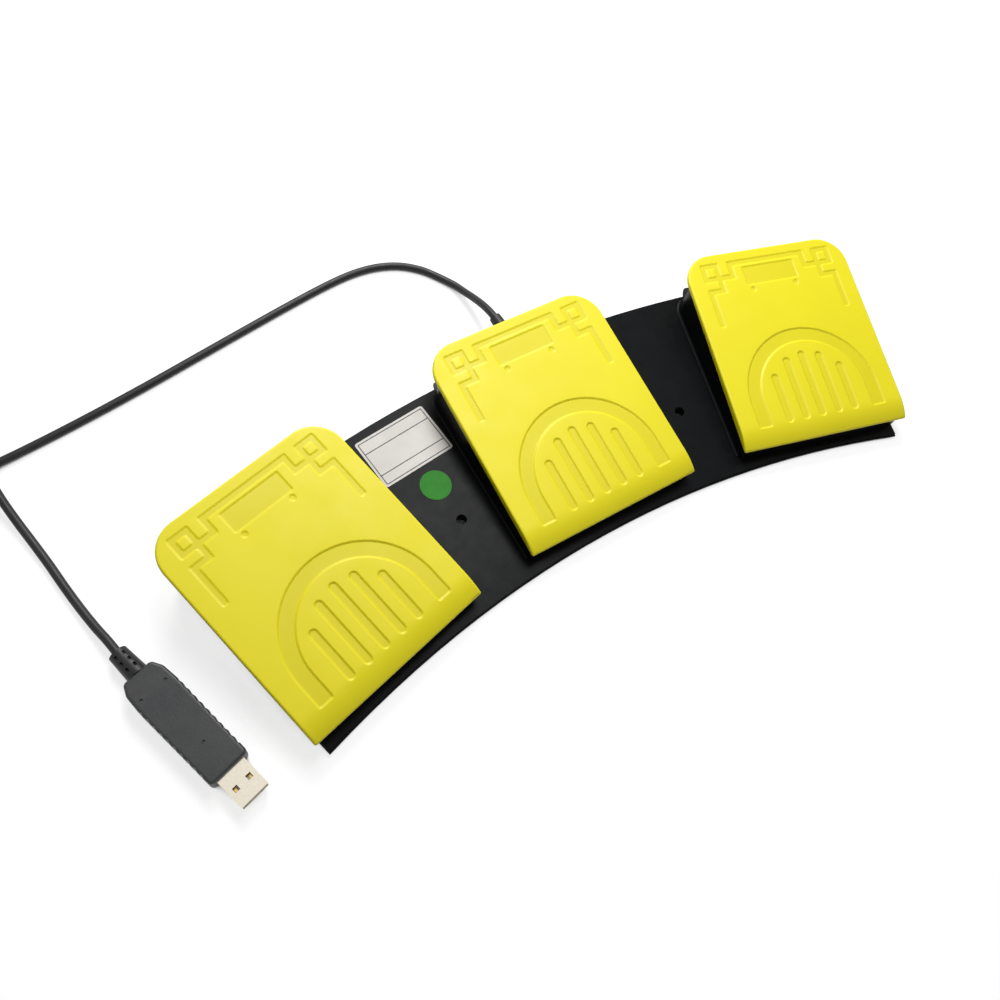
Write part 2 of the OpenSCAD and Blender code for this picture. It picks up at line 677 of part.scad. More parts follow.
module pedal_fittings() {
    lug_top = under_z(hinge_back + boss_r) + 0.4;
    for (side = [-1, 1]) {
        cross_bar(side * lug_u - lug_w / 2, side * lug_u + lug_w / 2, hinge_back, hinge_z, boss_r);
        translate([side * lug_u - lug_w / 2, hinge_back - boss_r, hinge_z])
            cube([lug_w, 2 * boss_r, lug_top - hinge_z]);
        on_slope() translate([side * lug_u - 1, roll_len + 6, -pedal_t - 3])
            cube([2, hinge_back - roll_len - 6, 3 + pedal_t / 2]);
    }
    translate([0, spring_back, spring_top])
        cylinder(h = top_z(spring_back) - 2 - spring_top, d = seat_d);
    translate([0, spring_back, spring_top - 1.2]) cylinder(h = 2, d = spring_d - spring_wire - 0.6);
    translate([0, switch_back, plunger_top + striker_gap])
        cylinder(h = top_z(switch_back) - 1.8 - plunger_top - striker_gap, d = 6);
}

module pedal(i) color([0.97, 0.9, 0.12]) at_pedal(i) {
    difference() {
        union() {
            on_slope() difference() {
                pedal_cover();
                translate([0, 0, -relief_d]) linear_extrude(pedal_t) relief_plan();
            }
            pedal_fittings();
        }
        cross_bar(-pedal_w / 2, pedal_w / 2, hinge_back, hinge_z, pin_r + hinge_clear);
    }
}

module hinge_pin(i) color("silver") at_pedal(i)
    cross_bar(-pin_end_u + eps, pin_end_u - eps, hinge_back, hinge_z, pin_r);

// Switches and springs
module switch_body(i) color([0.15, 0.15, 0.17]) at_pedal(i) difference() {
    translate([-switch_size[0] / 2, switch_back - switch_size[1] / 2, deck_z]) cube(switch_size);
    translate([0, switch_back, plunger_low - plunger_travel - 0.5])
        cylinder(h = switch_size[2], r = plunger_d / 2 + plunger_clear);
    for (side = [-1, 1]) translate([side * switch_size[0] / 4, switch_back - switch_size[1], deck_z + 3])
        rotate([-90, 0, 0]) cylinder(h = 2 * switch_size[1], d = 2.2);
}

module switch_plunger(i) color([0.75, 0.2, 0.15]) at_pedal(i) translate([0, switch_back, plunger_low])
    cylinder(h = plunger_top - plunger_low, d = plunger_d);

function spring_points() =
    let (low = spring_low + spring_wire / 2 + seat_gap, high = spring_top - spring_wire / 2 - seat_gap)
    [for (k = [0:8 * spring_turns]) let (a = 45 * k)
        [spring_d / 2 * cos(a), spring_d / 2 * sin(a), low + (high - low) * k / (8 * spring_turns)]];

module return_spring(i) color("silver") at_pedal(i) translate([0, spring_back, 0]) {
    p = spring_points();
    end_turn = 45 * 8 * spring_turns;
    echo("least gap of the spring to itself", least_gap(p, spring_wire, 6));
    tube(p, spring_wire, 6, [0, 1, 0], [-sin(end_turn), cos(end_turn), 0]);
}

// Wires inside the base: down through the deck, along under it, and up to the board
module switch_lead(i) color([0.6, 0.1, 0.1]) {
    v0 = switch_back + switch_size[1] / 2;
    v1 = board_back - board_size[1] / 2;
    low = (plate_z + deck_z - deck_t) / 2;
    high = board_z + board_size[2] / 2;
    near = [[0, v0, deck_z + 1.2], [0, v0 + 1.5, deck_z + 1.1], [0, slot_back - 2, deck_z - 0.2],
        [0, slot_back + 2, low + 0.15], [0, slot_back + 6, low]];
    far = [[entry_u, slot_back - 6, low], [entry_u, slot_back - 3, low + 0.15],
        [entry_u, slot_back - 1, deck_z + 0.2], [entry_u, v1 - 0.6, high - 0.1], [entry_u, v1, high]];
    angle = i * pedal_step;
    place = function (p, a) [p[0] * cos(a) + (lip_r + p[1]) * sin(a),
        (lip_r + p[1]) * cos(a) - p[0] * sin(a) - arc_y, p[2]];
    inner = [for (p = far) place([i * p[0], p[1], p[2]], 0)];
    outer = [for (p = near) place(p, angle)];
    between = [for (k = [1:4]) place([0, slot_back + 4 - 2 * k, low], angle * (1 - 0.17 * k))];
    if (i == 0) tube([place([0, v0, high], 0), place([0, v1, high], 0)], wire_d, 6, [0, 1, 0], [0, 1, 0]);
    else tube(curve(concat(outer, between, inner), 2), wire_d, 6, [sin(angle), cos(angle), 0], [0, 1, 0]);
}

// Main board
module main_board() color([0.1, 0.35, 0.2]) at_pedal(0) difference() {
    translate([-board_size[0] / 2, board_back - board_size[1] / 2, board_z]) cube(board_size);
    for (side = [-1, 1]) translate([side * board_screw_gap / 2, board_back, 0])
        cylinder(h = 2 * board_z, d = board_screw_d + 0.4);
}

module controller_chip() color([0.12, 0.12, 0.13]) at_pedal(0)
    translate([-chip_size[0] / 2, board_back - chip_size[1] / 2, board_z + board_size[2]]) difference() {
        cube(chip_size);
        translate([1.6, 1.6, chip_size[2] - 0.2]) cylinder(h = 1, d = 1);
    }

module board_screws() color("silver") at_pedal(0) for (side = [-1, 1])
    translate([side * board_screw_gap / 2, board_back, board_z + board_size[2]]) {
        cylinder(h = 1.3, d = 4);
        translate([0, 0, -board_size[2] - board_post_h])
            cylinder(h = board_size[2] + board_post_h + eps, d = board_screw_d);
    }

// Stickers
module on_deck(x, v) { translate([x, v, deck_at(v) + sticker_lift]) rotate([deck_slope, 0, 0]) children(); }

module label_sticker() color([0.85, 0.85, 0.83]) at_valley(-1) on_deck(label_x, label_back)
    linear_extrude(sticker_t) round_rect(label_size[0], label_size[1], 1.2);

module round_sticker() color([0.2, 0.6, 0.25]) at_valley(-1) on_deck(dot_x, dot_back)
    cylinder(h = sticker_t, d = dot_d);

// Gland
module cable_gland() color([0.1, 0.1, 0.1]) at_pedal(0)
    translate([gland_x, housing_back, gland_z]) rotate([-90, 0, 0]) rotate_extrude() polygon([
        [0, -wall - 1.4], [gland_d / 2, -wall - 1.4], [gland_d / 2, -wall], [gland_neck_d / 2, -wall],
        [gland_neck_d / 2, 0], [gland_d / 2, 0], [gland_d / 2, 1.6], [gland_neck_d / 2 + 0.4, 2.4],
        [gland_tip_d / 2, gland_len], [0, gland_len]]);

// Cord
module cord_lead() color([0.1, 0.1, 0.1])
    tube(curve(lead_route, 2), cord_d, 8, [0, 1, 0], [-1, 0, 0]);

module cord_tail() color([0.1, 0.1, 0.1])
    tube(concat(curve(concat(tail_route, [relief_end]), 1)), cord_d, 8, [0, -1, 0], plug_axis);

// Loops that spiral in and out in turn, and climb a layer in the half turn where they reverse
function coil_points() = [
    for (k = [0:coil_steps * coil_turns])
        let (turn = k / coil_steps, sweep = min(floor(turn / sweep_turns), coil_layers - 1),
            run = coil_pitch * (turn - sweep * sweep_turns),
            r = sweep % 2 == 0 ? coil_r_out - run : coil_r_in + run,
            climbs = [for (j = [1:coil_layers - 1]) smooth(2 * (turn - j * sweep_turns) + 0.5)],
            a = -90 - 360 * turn)
        coil_centre + [r * cos(a), r * sin(a), coil_pitch * (climbs * [for (c = climbs) 1])]];

module cord_coil() color([0.1, 0.1, 0.1]) {
    p = concat([coil_start], coil_points(), [coil_end]);
    echo("least gap of the coil to itself", least_gap(p, cord_d, 18));
    tube(p, cord_d, 6, [-1, 0, 0], [0, -1, 0]);
}

module cable_tie() color([0.15, 0.15, 0.16]) {
    tie_w = 5;
    tie_t = 0.8;
    slack = 0.3;
    w = coil_r_out - coil_r_in + cord_d + 2 * slack;
    h = coil_pitch * (coil_layers - 1) + cord_d + 2 * slack;
    middle = [coil_centre[0] - (coil_r_out + coil_r_in) / 2, coil_centre[1] + tie_w / 2,
        coil_centre[2] + coil_pitch * (coil_layers - 1) / 2];
    translate(middle) rotate([90, 0, 0]) linear_extrude(tie_w) {
        difference() {
            round_rect(w + 2 * tie_t, h + 2 * tie_t, 2.4 + tie_t);
            round_rect(w, h, 2.4);
        }
        translate([-w / 2 + 3, h / 2 + tie_t - eps]) square([w / 2, tie_t]);
    }
}

// Plug, along +X from the cord to the tip
module plug_corner(x, y, r) {
    flat = plug_t / 2 - plug_edge_r;
    edge = [for (a = [-90:30:90]) [r - plug_edge_r * (1 - cos(a)), sign(a) * flat + plug_edge_r * sin(a)]];
    for (side = [-1, 1]) translate([x, side * (y - r), 0])
        rotate_extrude($fn = 32) polygon(concat([[0, -plug_t / 2]], edge, [[0, plug_t / 2]]));
}

module plug_body() color([0.13, 0.14, 0.15]) at_plug() difference() {
    hull() {
        plug_corner(2, plug_rear_w / 2, 2);
        plug_corner(5.6, plug_w / 2 - 0.5, 4.6);
        plug_corner(13, plug_w / 2, 8);
        plug_corner(plug_len - 1.8, plug_w / 2 - 0.4, 1.8);
    }
    for (side = [-1, 1]) for (k = [0:grip_count - 1])
        translate([plug_len - 4 - k * grip_pitch, side * (plug_w / 2 + 0.3), -plug_t])
            cylinder(h = 2 * plug_t, d = 2.2, $fn = 24);
    translate([plug_len - shell_in - plug_fit, -shell_size[0] / 2 - plug_fit, -shell_size[1] / 2 - plug_fit])
        cube([shell_in + 2, shell_size[0] + 2 * plug_fit, shell_size[1] + 2 * plug_fit]);
    translate(plug_board_at - plug_fit * [1, 1, 1])
        cube(plug_board_size + plug_fit * [10, 2, 2]);
    for (p = [[9.5, -5.4], [9.5, 5.4], [36.5, 0]]) translate([p[0], p[1], plug_t / 2 - 0.5])
        cylinder(h = 1, d = 1.2);
}

module plug_strain_relief() color([0.13, 0.14, 0.15]) at_plug() difference() {
    translate([-relief_len, 0, 0]) rotate([0, 90, 0]) cylinder(h = relief_len, d1 = relief_d2, d2 = relief_d1);
    for (k = [0:2]) for (side = [-1, 1])
        translate([-relief_len + 1.6 + 3.2 * k, side * 1.7 - 0.5, relief_d2 / 2 - 1.2]) cube([1.7, 1, 2]);
}

module plug_shell() color([0.82, 0.8, 0.74]) at_plug() difference() {
    translate([plug_len - shell_in, -shell_size[0] / 2, -shell_size[1] / 2])
        cube([shell_in + shell_out, shell_size[0], shell_size[1]]);
    translate([plug_len - shell_in - 1, -shell_size[0] / 2 + shell_t, -shell_size[1] / 2 + shell_t])
        cube([shell_in + shell_out + 2, shell_size[0] - 2 * shell_t, shell_size[1] - 2 * shell_t]);
    for (side = [-1, 1]) translate([plug_len + 6.5, side * 3, 0]) cube([2.1, 2.1, 2 * shell_size[1]], center = true);
}

module plug_tongue() color([0.9, 0.9, 0.88]) at_plug()
    translate([plug_len - shell_in, -shell_size[0] / 2 + shell_t, -shell_size[1] / 2 + shell_t])
    cube([shell_in + shell_out - 0.6, shell_size[0] - 2 * shell_t, tongue_t]);

module plug_contacts() color("gold") at_plug() for (k = [-1.5:1.5])
    translate([plug_len + 2, k * 2.2 - 0.5, -shell_size[1] / 2 + shell_t + tongue_t]) cube([shell_out - 4, 1, 0.2]);

module plug_board() color([0.1, 0.35, 0.2]) at_plug() translate(plug_board_at) cube(plug_board_size);

base_shell();
bottom_plate();
base_screws();
rubber_feet();
pedal(-1);  // pedal_left
pedal(0);  // pedal_center
pedal(1);  // pedal_right
hinge_pin(-1);  // hinge_pin_left
hinge_pin(0);  // hinge_pin_center
hinge_pin(1);  // hinge_pin_right
switch_body(-1);  // switch_body_left
switch_body(0);  // switch_body_center
switch_body(1);  // switch_body_right
switch_plunger(-1);  // switch_plunger_left
switch_plunger(0);  // switch_plunger_center
switch_plunger(1);  // switch_plunger_right
return_spring(-1);  // return_spring_left
return_spring(0);  // return_spring_center
return_spring(1);  // return_spring_right
switch_lead(-1);  // switch_lead_left
switch_lead(0);  // switch_lead_center
switch_lead(1);  // switch_lead_right
main_board();
controller_chip();
board_screws();
label_sticker();
round_sticker();
cable_gland();
cord_lead();
cord_coil();
cord_tail();
cable_tie();
plug_strain_relief();
plug_body();
plug_shell();
plug_tongue();
plug_contacts();
plug_board();
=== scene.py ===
"""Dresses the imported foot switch: fine pedals and plug, soft edges, one cord, materials, light and camera."""

import json
import math

import bmesh
import bpy
import numpy as np
from mathutils import Matrix, Vector
from mathutils.geometry import convex_hull_2d, delaunay_2d_cdt


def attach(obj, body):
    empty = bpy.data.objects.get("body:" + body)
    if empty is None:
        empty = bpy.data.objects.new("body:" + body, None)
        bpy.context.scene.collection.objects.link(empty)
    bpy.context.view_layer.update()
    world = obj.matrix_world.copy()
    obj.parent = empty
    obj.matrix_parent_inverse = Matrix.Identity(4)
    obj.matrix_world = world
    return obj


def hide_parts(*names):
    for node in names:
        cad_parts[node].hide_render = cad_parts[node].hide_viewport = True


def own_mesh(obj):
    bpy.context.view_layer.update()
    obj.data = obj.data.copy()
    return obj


MM = 0.001
# The pedals' places in the row, from the middle one
NAMES = {-1: "left", 0: "center", 1: "right"}

# Sizes repeated from the part's source, in millimetres, with the slopes in radians
LIP_R = 442
VALLEY_W = 26.8
PEDAL_W = 85.4
HALF_W = PEDAL_W / 2
PEDAL_LEN = 97
SLOPE = math.radians(10)
TOP_Z = 13.5
PEDAL_T = 1.6
LIP_DROP = 3.6
EDGE_R = 0.9
CORNER_R = 14
ROLL_LEN = 11
ROLL_R = 25
SIDE_OVERHANG = 0.6
END_INSET = 2
FRONT_LEDGE = 3.4
FRONT_ARC_R = 465
FLANGE = 0.6
HOUSING_BACK = 88.5
REAR_LEDGE = 1.5
DECK_FRONT_Z = 2.6
DECK_SLOPE = math.radians(4.3)

# Angle from one pedal to the next, in degrees
STEP = math.degrees(2 * (math.atan(HALF_W / LIP_R) + math.asin(VALLEY_W / 2 / math.hypot(HALF_W, LIP_R))))
END_U = HALF_W - SIDE_OVERHANG - END_INSET
LIP_BACK = LIP_DROP * math.sin(SLOPE)
UNDER_REAR_V = PEDAL_LEN * math.cos(SLOPE) + PEDAL_T * math.sin(SLOPE) - LIP_BACK


def arc_centre():
    """How far behind the origin the centre of the base's arc lies."""
    a = math.radians(STEP)
    back = LIP_R - FRONT_LEDGE - FRONT_ARC_R
    u = END_U + back * math.sin(a)
    w = back * math.cos(a) + math.sqrt((FRONT_ARC_R - FLANGE) ** 2 - u**2)
    return (w * math.cos(a) - END_U * math.sin(a) + LIP_R + UNDER_REAR_V) / 2


ARC_Y = arc_centre()


def place(i, u, v, z):
    """A point of pedal i's own frame, in the row frame and in metres."""
    a = math.radians(i * STEP)
    w = LIP_R + v
    return Vector((u * math.cos(a) + w * math.sin(a), w * math.cos(a) - u * math.sin(a) - ARC_Y, z)) * MM


def on_slope(i, u, s, n):
    """A point on or above pedal i's sloping top plane."""
    v = s * math.cos(SLOPE) - n * math.sin(SLOPE) - LIP_BACK
    return place(i, u, v, TOP_Z + s * math.sin(SLOPE) + n * math.cos(SLOPE))


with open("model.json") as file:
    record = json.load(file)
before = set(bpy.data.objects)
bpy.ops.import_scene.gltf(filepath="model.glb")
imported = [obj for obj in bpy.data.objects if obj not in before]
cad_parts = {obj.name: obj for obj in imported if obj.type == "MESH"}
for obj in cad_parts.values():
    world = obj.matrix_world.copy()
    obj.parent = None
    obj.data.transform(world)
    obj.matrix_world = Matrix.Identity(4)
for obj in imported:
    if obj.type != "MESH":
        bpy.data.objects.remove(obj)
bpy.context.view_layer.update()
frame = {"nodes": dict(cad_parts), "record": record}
nodes = frame["nodes"]
scene = bpy.context.scene
scene.view_settings.view_transform = "Standard"

# The camera, fitted to the photograph
AZIMUTH, ELEVATION, ROLL = (math.radians(x) for x in (-46.197, 62.530, 16.464))
TARGET = Vector((-0.03727, -0.001486, 0))
DISTANCE = 0.3899
LENS = 32.572


def make_camera():
    reach = math.cos(ELEVATION)
    back = Vector((math.sin(AZIMUTH) * reach, -math.cos(AZIMUTH) * reach, math.sin(ELEVATION)))
    level = Vector((math.cos(AZIMUTH), math.sin(AZIMUTH), 0))
    rise = back.cross(level)
    right = math.cos(ROLL) * level + math.sin(ROLL) * rise
    up = math.cos(ROLL) * rise - math.sin(ROLL) * level
    data = bpy.data.cameras.new("camera")
    data.sensor_width = 36
    data.lens = LENS
    data.clip_start, data.clip_end = 0.01, 10
    camera = bpy.data.objects.new("camera", data)
    turn = Matrix((right, up, back)).transposed().to_4x4()
    camera.matrix_world = Matrix.Translation(TARGET + back * DISTANCE) @ turn
    scene.collection.objects.link(camera)
    scene.camera = camera


make_camera()


# Materials
# How much finer the patches of gloss are than those of colour
GLOSS_FINER = 3.1
METAL_GRAIN, METAL_BUMP_GRAIN, METAL_BUMP = 1500, 600, 0.000004
# Each plastic's two colours, roughness, grain and its depth in metres, scale of its patches, specular level
PLASTICS = {
    "pedal_yellow": ((0.91, 0.8, 0.012), (0.87, 0.765, 0.01), (0.4, 0.54), 700, 0.000012, 22, 0.4),
    "casing_black": ((0.0038, 0.0043, 0.0048), (0.005, 0.0056, 0.0062), (0.28, 0.36), 900, 0.00002, 60, 0.07),
    "plate_black": ((0.004, 0.0043, 0.0048), (0.0055, 0.006, 0.0065), (0.45, 0.6), 900, 0.00003, 60, 0.08),
    "foot_rubber": ((0.02, 0.02, 0.02), (0.03, 0.03, 0.03), (0.7, 0.85), 1200, 0.00004, 90, 0.5),
    "cord_black": ((0.012, 0.012, 0.012), (0.018, 0.018, 0.018), (0.4, 0.5), 1500, 0.00002, 70, 0.3),
    "tie_black": ((0.02, 0.02, 0.021), (0.03, 0.03, 0.031), (0.5, 0.65), 1600, 0.00004, 120, 0.5),
    "plug_charcoal": ((0.017, 0.02, 0.021), (0.034, 0.034, 0.033), (0.4, 0.52), 1200, 0.00004, 90, 0.5),
    "switch_black": ((0.02, 0.02, 0.022), (0.03, 0.03, 0.032), (0.4, 0.55), 1500, 0.00002, 200, 0.5),
    "plunger_red": ((0.5, 0.03, 0.025), (0.42, 0.025, 0.02), (0.3, 0.4), 1500, 0.00001, 300, 0.5),
    "wire_red": ((0.4, 0.02, 0.02), (0.33, 0.018, 0.018), (0.4, 0.5), 1500, 0.00001, 300, 0.5),
    "board_green": ((0.015, 0.13, 0.045), (0.02, 0.16, 0.06), (0.3, 0.42), 1800, 0.00002, 150, 0.5),
    "label_silver": ((0.66, 0.63, 0.59), (0.6, 0.57, 0.53), (0.34, 0.44), 1200, 0.00001, 80, 0.3),
    "sticker_green": ((0.03, 0.23, 0.02), (0.024, 0.2, 0.016), (0.45, 0.55), 1500, 0.00001, 150, 0.12),
    "tongue_white": ((0.75, 0.75, 0.72), (0.7, 0.7, 0.67), (0.4, 0.5), 1500, 0.00001, 200, 0.5),
}
# Each metal's colour and roughness
METALS = {
    "steel": ((0.6, 0.6, 0.61), (0.25, 0.4)),
    "shell_nickel": ((0.94, 0.87, 0.72), (0.14, 0.24)),
    "contact_gold": ((0.85, 0.62, 0.25), (0.2, 0.3)),
}
# Painted shade on the floors of the pedals' grooves: its darker colour, and its share of the colour there
GROOVE_SHADE_COLOR, GROOVE_SHADE_SHARE = (0.6, 0.52, 0.006), 0.28


def material(name, color, roughness, metallic=0.0, specular=0.5):
    """A new principled material, its node tree and its shader."""
    m = bpy.data.materials.new(name)
    m.use_nodes = True
    shader = m.node_tree.nodes["Principled BSDF"]
    shader.inputs["Base Color"].default_value = (*color, 1)
    shader.inputs["Roughness"].default_value = roughness
    shader.inputs["Metallic"].default_value = metallic
    shader.inputs["Specular IOR Level"].default_value = specular
    return m, m.node_tree, shader


def noise(tree, scale, detail=3.0):
    """Noise in the object's own coordinates, where a scale of 1000 is one wave a millimetre."""
    where = tree.nodes.new("ShaderNodeTexCoord")
    node = tree.nodes.new("ShaderNodeTexNoise")
    node.inputs["Scale"].default_value = scale
    node.inputs["Detail"].default_value = detail
    node.inputs["Roughness"].default_value = 0.55
    tree.links.new(where.outputs["Object"], node.inputs["Vector"])
    return node.outputs["Fac"]


def spread(tree, value, low, high, start=0.3, end=0.7):
    """Maps a value, by default one of noise, onto a range."""
    node = tree.nodes.new("ShaderNodeMapRange")
    node.inputs["From Min"].default_value = start
    node.inputs["From Max"].default_value = end
    node.inputs["To Min"].default_value = low
    node.inputs["To Max"].default_value = high
    tree.links.new(value, node.inputs["Value"])
    return node.outputs["Result"]


def mixed(tree, factor, a, b):
    """A colour between a and b."""
    node = tree.nodes.new("ShaderNodeMix")
    node.data_type = "RGBA"
    tree.links.new(factor, node.inputs["Factor"])
    for socket, value in ((node.inputs["A"], a), (node.inputs["B"], b)):
        if isinstance(value, tuple):
            socket.default_value = (*value, 1)
        else:
            tree.links.new(value, socket)
    return node.outputs["Result"]


def bump(tree, shader, height, distance):
    """Gives a shader a relief of the given depth in metres."""
    node = tree.nodes.new("ShaderNodeBump")
    node.inputs["Distance"].default_value = distance
    node.inputs["Strength"].default_value = 1
    tree.links.new(height, node.inputs["Height"])
    tree.links.new(node.outputs["Normal"], shader.inputs["Normal"])


def plastic(name, color, other, roughness, grain, depth, patch, specular):
    """Moulded plastic: two close colours in soft patches, a fine grain and uneven gloss."""
    m, tree, shader = material(name, color, sum(roughness) / 2, specular=specular)
    patches = spread(tree, noise(tree, patch), 0, 1)
    tree.links.new(mixed(tree, patches, color, other), shader.inputs["Base Color"])
    tree.links.new(spread(tree, noise(tree, patch * GLOSS_FINER), *roughness), shader.inputs["Roughness"])
    bump(tree, shader, noise(tree, grain, 2.0), depth)
    return m


def metal(name, color, roughness):
    """Plain or plated metal with a fine uneven polish."""
    m, tree, shader = material(name, color, roughness[0], metallic=1.0)
    tree.links.new(spread(tree, noise(tree, METAL_GRAIN, 2.0), *roughness), shader.inputs["Roughness"])
    bump(tree, shader, noise(tree, METAL_BUMP_GRAIN, 2.0), METAL_BUMP)
    return m


def paint_groove_shade(m):
    """Darkens the floors of the grooves, which the mesh marks, with painted shade."""
    tree = m.node_tree
    base = tree.nodes["Principled BSDF"].inputs["Base Color"]
    shade_mark = tree.nodes.new("ShaderNodeAttribute")
    shade_mark.attribute_name = "groove"
    factor = spread(tree, shade_mark.outputs["Fac"], 0, GROOVE_SHADE_SHARE, 0, 1)
    tree.links.new(mixed(tree, factor, base.links[0].from_socket, GROOVE_SHADE_COLOR), base)


SLOTS = {name: plastic(name, *look) for name, look in PLASTICS.items()}
SLOTS |= {name: metal(name, *look) for name, look in METALS.items()}
# Painted shade in the grooves of the yellow pedals
paint_groove_shade(SLOTS["pedal_yellow"])
for part in frame["record"]["subparts"]:
    data = nodes[part["node"]].data
    data.materials.clear()
    data.materials.append(SLOTS[part["material_slot"]])


# New pieces
def new_piece(name, data, slot):
    """A new object in the scene, in a slot's material."""
    data.materials.append(SLOTS[slot])
    piece = bpy.data.objects.new(name, data)
    scene.collection.objects.link(piece)
    return piece


def mesh_piece(name, mesh, slot, sharp=None):
    """A new piece of a bmesh, smooth but for edges above an angle in degrees, or else flat."""
    data = bpy.data.meshes.new(name)
    mesh.to_mesh(data)
    mesh.free()
    if sharp is not None:
        data.shade_smooth()
        data.set_sharp_from_angle(angle=math.radians(sharp))
    return new_piece(name, data, slot)


# The cord: one curve through the lead, the coil and the tail, by the points of the part's source
CORD_D = 3.6
GLAND_LEN, GLAND_D, GLAND_GAP = 19.5, 7.8, 0.2
DECK_REAR_Z = DECK_FRONT_Z + (FRONT_LEDGE + HOUSING_BACK + REAR_LEDGE) * math.tan(DECK_SLOPE)
GLAND_TIP = (4.5, LIP_R + HOUSING_BACK + GLAND_LEN - ARC_Y, DECK_REAR_Z + GLAND_D / 2 + GLAND_GAP)
COIL = np.array((-242, 132, 3.1))
COIL_TURNS, COIL_LAYERS, COIL_R, COIL_PITCH = 10.75, 4, 26, CORD_D + 0.5
COIL_START = tuple(COIL + (CORD_D, -COIL_R, 0))
COIL_END = tuple(COIL + (COIL_R, -CORD_D, COIL_PITCH * (COIL_LAYERS - 1)))
LEAD = [
    GLAND_TIP, (4.6, 80.5, 12.4), (4.7, 87, 9.9), (4.6, 94, 6.6), (3.9, 100.5, 3.9), (2.4, 107, 2.3),
    (-1.5, 114, 1.9), (-7, 121.5, 1.9), (-15, 128, 1.9), (-25, 132, 1.9), (-37, 133.5, 1.9),
    (-52, 132.5, 1.9), (-72, 129.5, 1.9), (-95, 125.5, 1.9), (-120, 121, 1.9), (-145, 116.5, 1.9),
    (-170, 112.5, 1.9), (-192, 109.5, 1.9), (-210, 107.5, 2.1), (-226, 106.4, 2.7), COIL_START,
]
PLUG_PLACE = Vector((-195.5, -2, 4.5))
PLUG_TURN = math.radians(-73.2)
PLUG_AXIS = Vector((math.cos(PLUG_TURN), math.sin(PLUG_TURN), 0))
RELIEF_LEN = 12
TAIL = [
    COIL_END, (-216, 122, 15), (-216, 115.5, 13.7), (-215.8, 109, 11.7), (-215.4, 102, 9.3),
    (-214.8, 94.5, 6.8), (-213.8, 86, 4.6), (-212.2, 76.5, 2.9), (-210.3, 66.5, 2.1), (-208.4, 56, 1.9),
    (-206.6, 44.5, 1.9), (-204.6, 33.5, 2.1), (-202.4, 23.5, 3), (-200.4, 16, 4.1),
    tuple(PLUG_PLACE - RELIEF_LEN * PLUG_AXIS),
]
# Steps from one point of the route to the next, and in one turn of the coil
ROUTE_STEPS, COIL_STEPS = 5, 40


def curve_through(points):
    """A smooth curve through the points, as in the part's source."""
    p = [np.array(x, float) for x in points]
    out = []
    for i in range(len(p) - 1):
        a, b, c, d = p[max(i - 1, 0)], p[i], p[i + 1], p[min(i + 2, len(p) - 1)]
        for k in range(ROUTE_STEPS):
            t = k / ROUTE_STEPS
            bend = (2 * a - 5 * b + 4 * c - d) * t**2
            out.append(0.5 * (2 * b + (c - a) * t + bend + (3 * b - a - 3 * c + d) * t**3))
    return [*out, p[-1]]


def smooth(x):
    """A soft step from 0 to 1."""
    x = min(max(x, 0), 1)
    return x * x * (3 - 2 * x)


def coil_points():
    """Loops that spiral in and out in turn, and climb a layer where they reverse."""
    sweep_turns = COIL_TURNS / COIL_LAYERS
    inner = COIL_R - COIL_PITCH * sweep_turns
    out = []
    for k in range(int(COIL_STEPS * COIL_TURNS) + 1):
        turn = k / COIL_STEPS
        sweep = min(int(turn / sweep_turns), COIL_LAYERS - 1)
        run = COIL_PITCH * (turn - sweep * sweep_turns)
        r = COIL_R - run if sweep % 2 == 0 else inner + run
        climb = sum(smooth(2 * (turn - j * sweep_turns) + 0.5) for j in range(1, COIL_LAYERS))
        a = math.radians(-90 - 360 * turn)
        out.append(COIL + (r * math.cos(a), r * math.sin(a), COIL_PITCH * climb))
    return out


def make_cord(plug_cover):
    route = curve_through(LEAD) + coil_points() + curve_through(TAIL)
    data = bpy.data.curves.new("cord", "CURVE")
    data.dimensions = "3D"
    data.bevel_depth = CORD_D / 2 * MM
    data.bevel_resolution = 4
    data.use_fill_caps = True
    spline = data.splines.new("POLY")
    spline.points.add(len(route) - 1)
    for point, p in zip(spline.points, route):
        point.co = (*(p * MM), 1)
    spline.use_smooth = True
    cord = new_piece("cord", data, "cord_black")
    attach(cord, "base")
    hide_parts("cord_lead", "cord_coil", "cord_tail")


# The pedals: a fine mesh with rounded edges and a soft sunk relief
ROLL_END = math.asin((ROLL_LEN - EDGE_R) / (ROLL_R - EDGE_R))
NOSE_N = -ROLL_R + (ROLL_R - EDGE_R) * math.cos(ROLL_END)
# The fret's right half, its island, its panel's half width and ends, and its dimple, in width and length
FRET_HALF = [
    (20.7, 92.2), (20.7, 85.4), (25.3, 85.4), (25.3, 92.2), (34.7, 92.2), (34.7, 82.8), (27.9, 82.8),
    (27.9, 79.0), (34.7, 79.0), (34.7, 59.7), (32.1, 59.7), (32.1, 76.4), (25.3, 76.4), (25.3, 82.8),
    (18.1, 82.8), (18.1, 89.6),
]
ISLAND = [(27.9, 85.4), (27.9, 89.6), (32.1, 89.6), (32.1, 85.4)]
PANEL_U, PANEL_FRONT, PANEL_BACK = 13.8, 78.7, 88.3
FRET_DIMPLE, FRET_DIMPLE_R = (11.5, 76.2), 1.2
ARCH = (0, 19.8)
ARCH_OUT, ARCH_IN, ARCH_FOOT = 33.2, 26.8, 8.8
TREAD_PITCH, TREAD_R, TREAD_REACH, TREAD_FOOT = 8.6, 1.7, 21.4, 10.5
# Depths of the worn relief: the fret's grooves, and the arch with its treads
FRET_D, ARCH_D = 0.3, 0.48
# Radius of a groove's corners in plan, with its steps, and the longest step along a straight edge
GROOVE_R, GROOVE_CORNER_STEPS, LOOP_STEP = 0.7, 4, 3
# Half the width of a groove's soft edge, and steps across it, from the top outside to the floor inside
GROOVE_EDGE = 0.55
GROOVE_STEPS = (0.6, 0.48, 0.3, 0.12, -0.06, -0.24, -0.4, -0.52, -0.6)
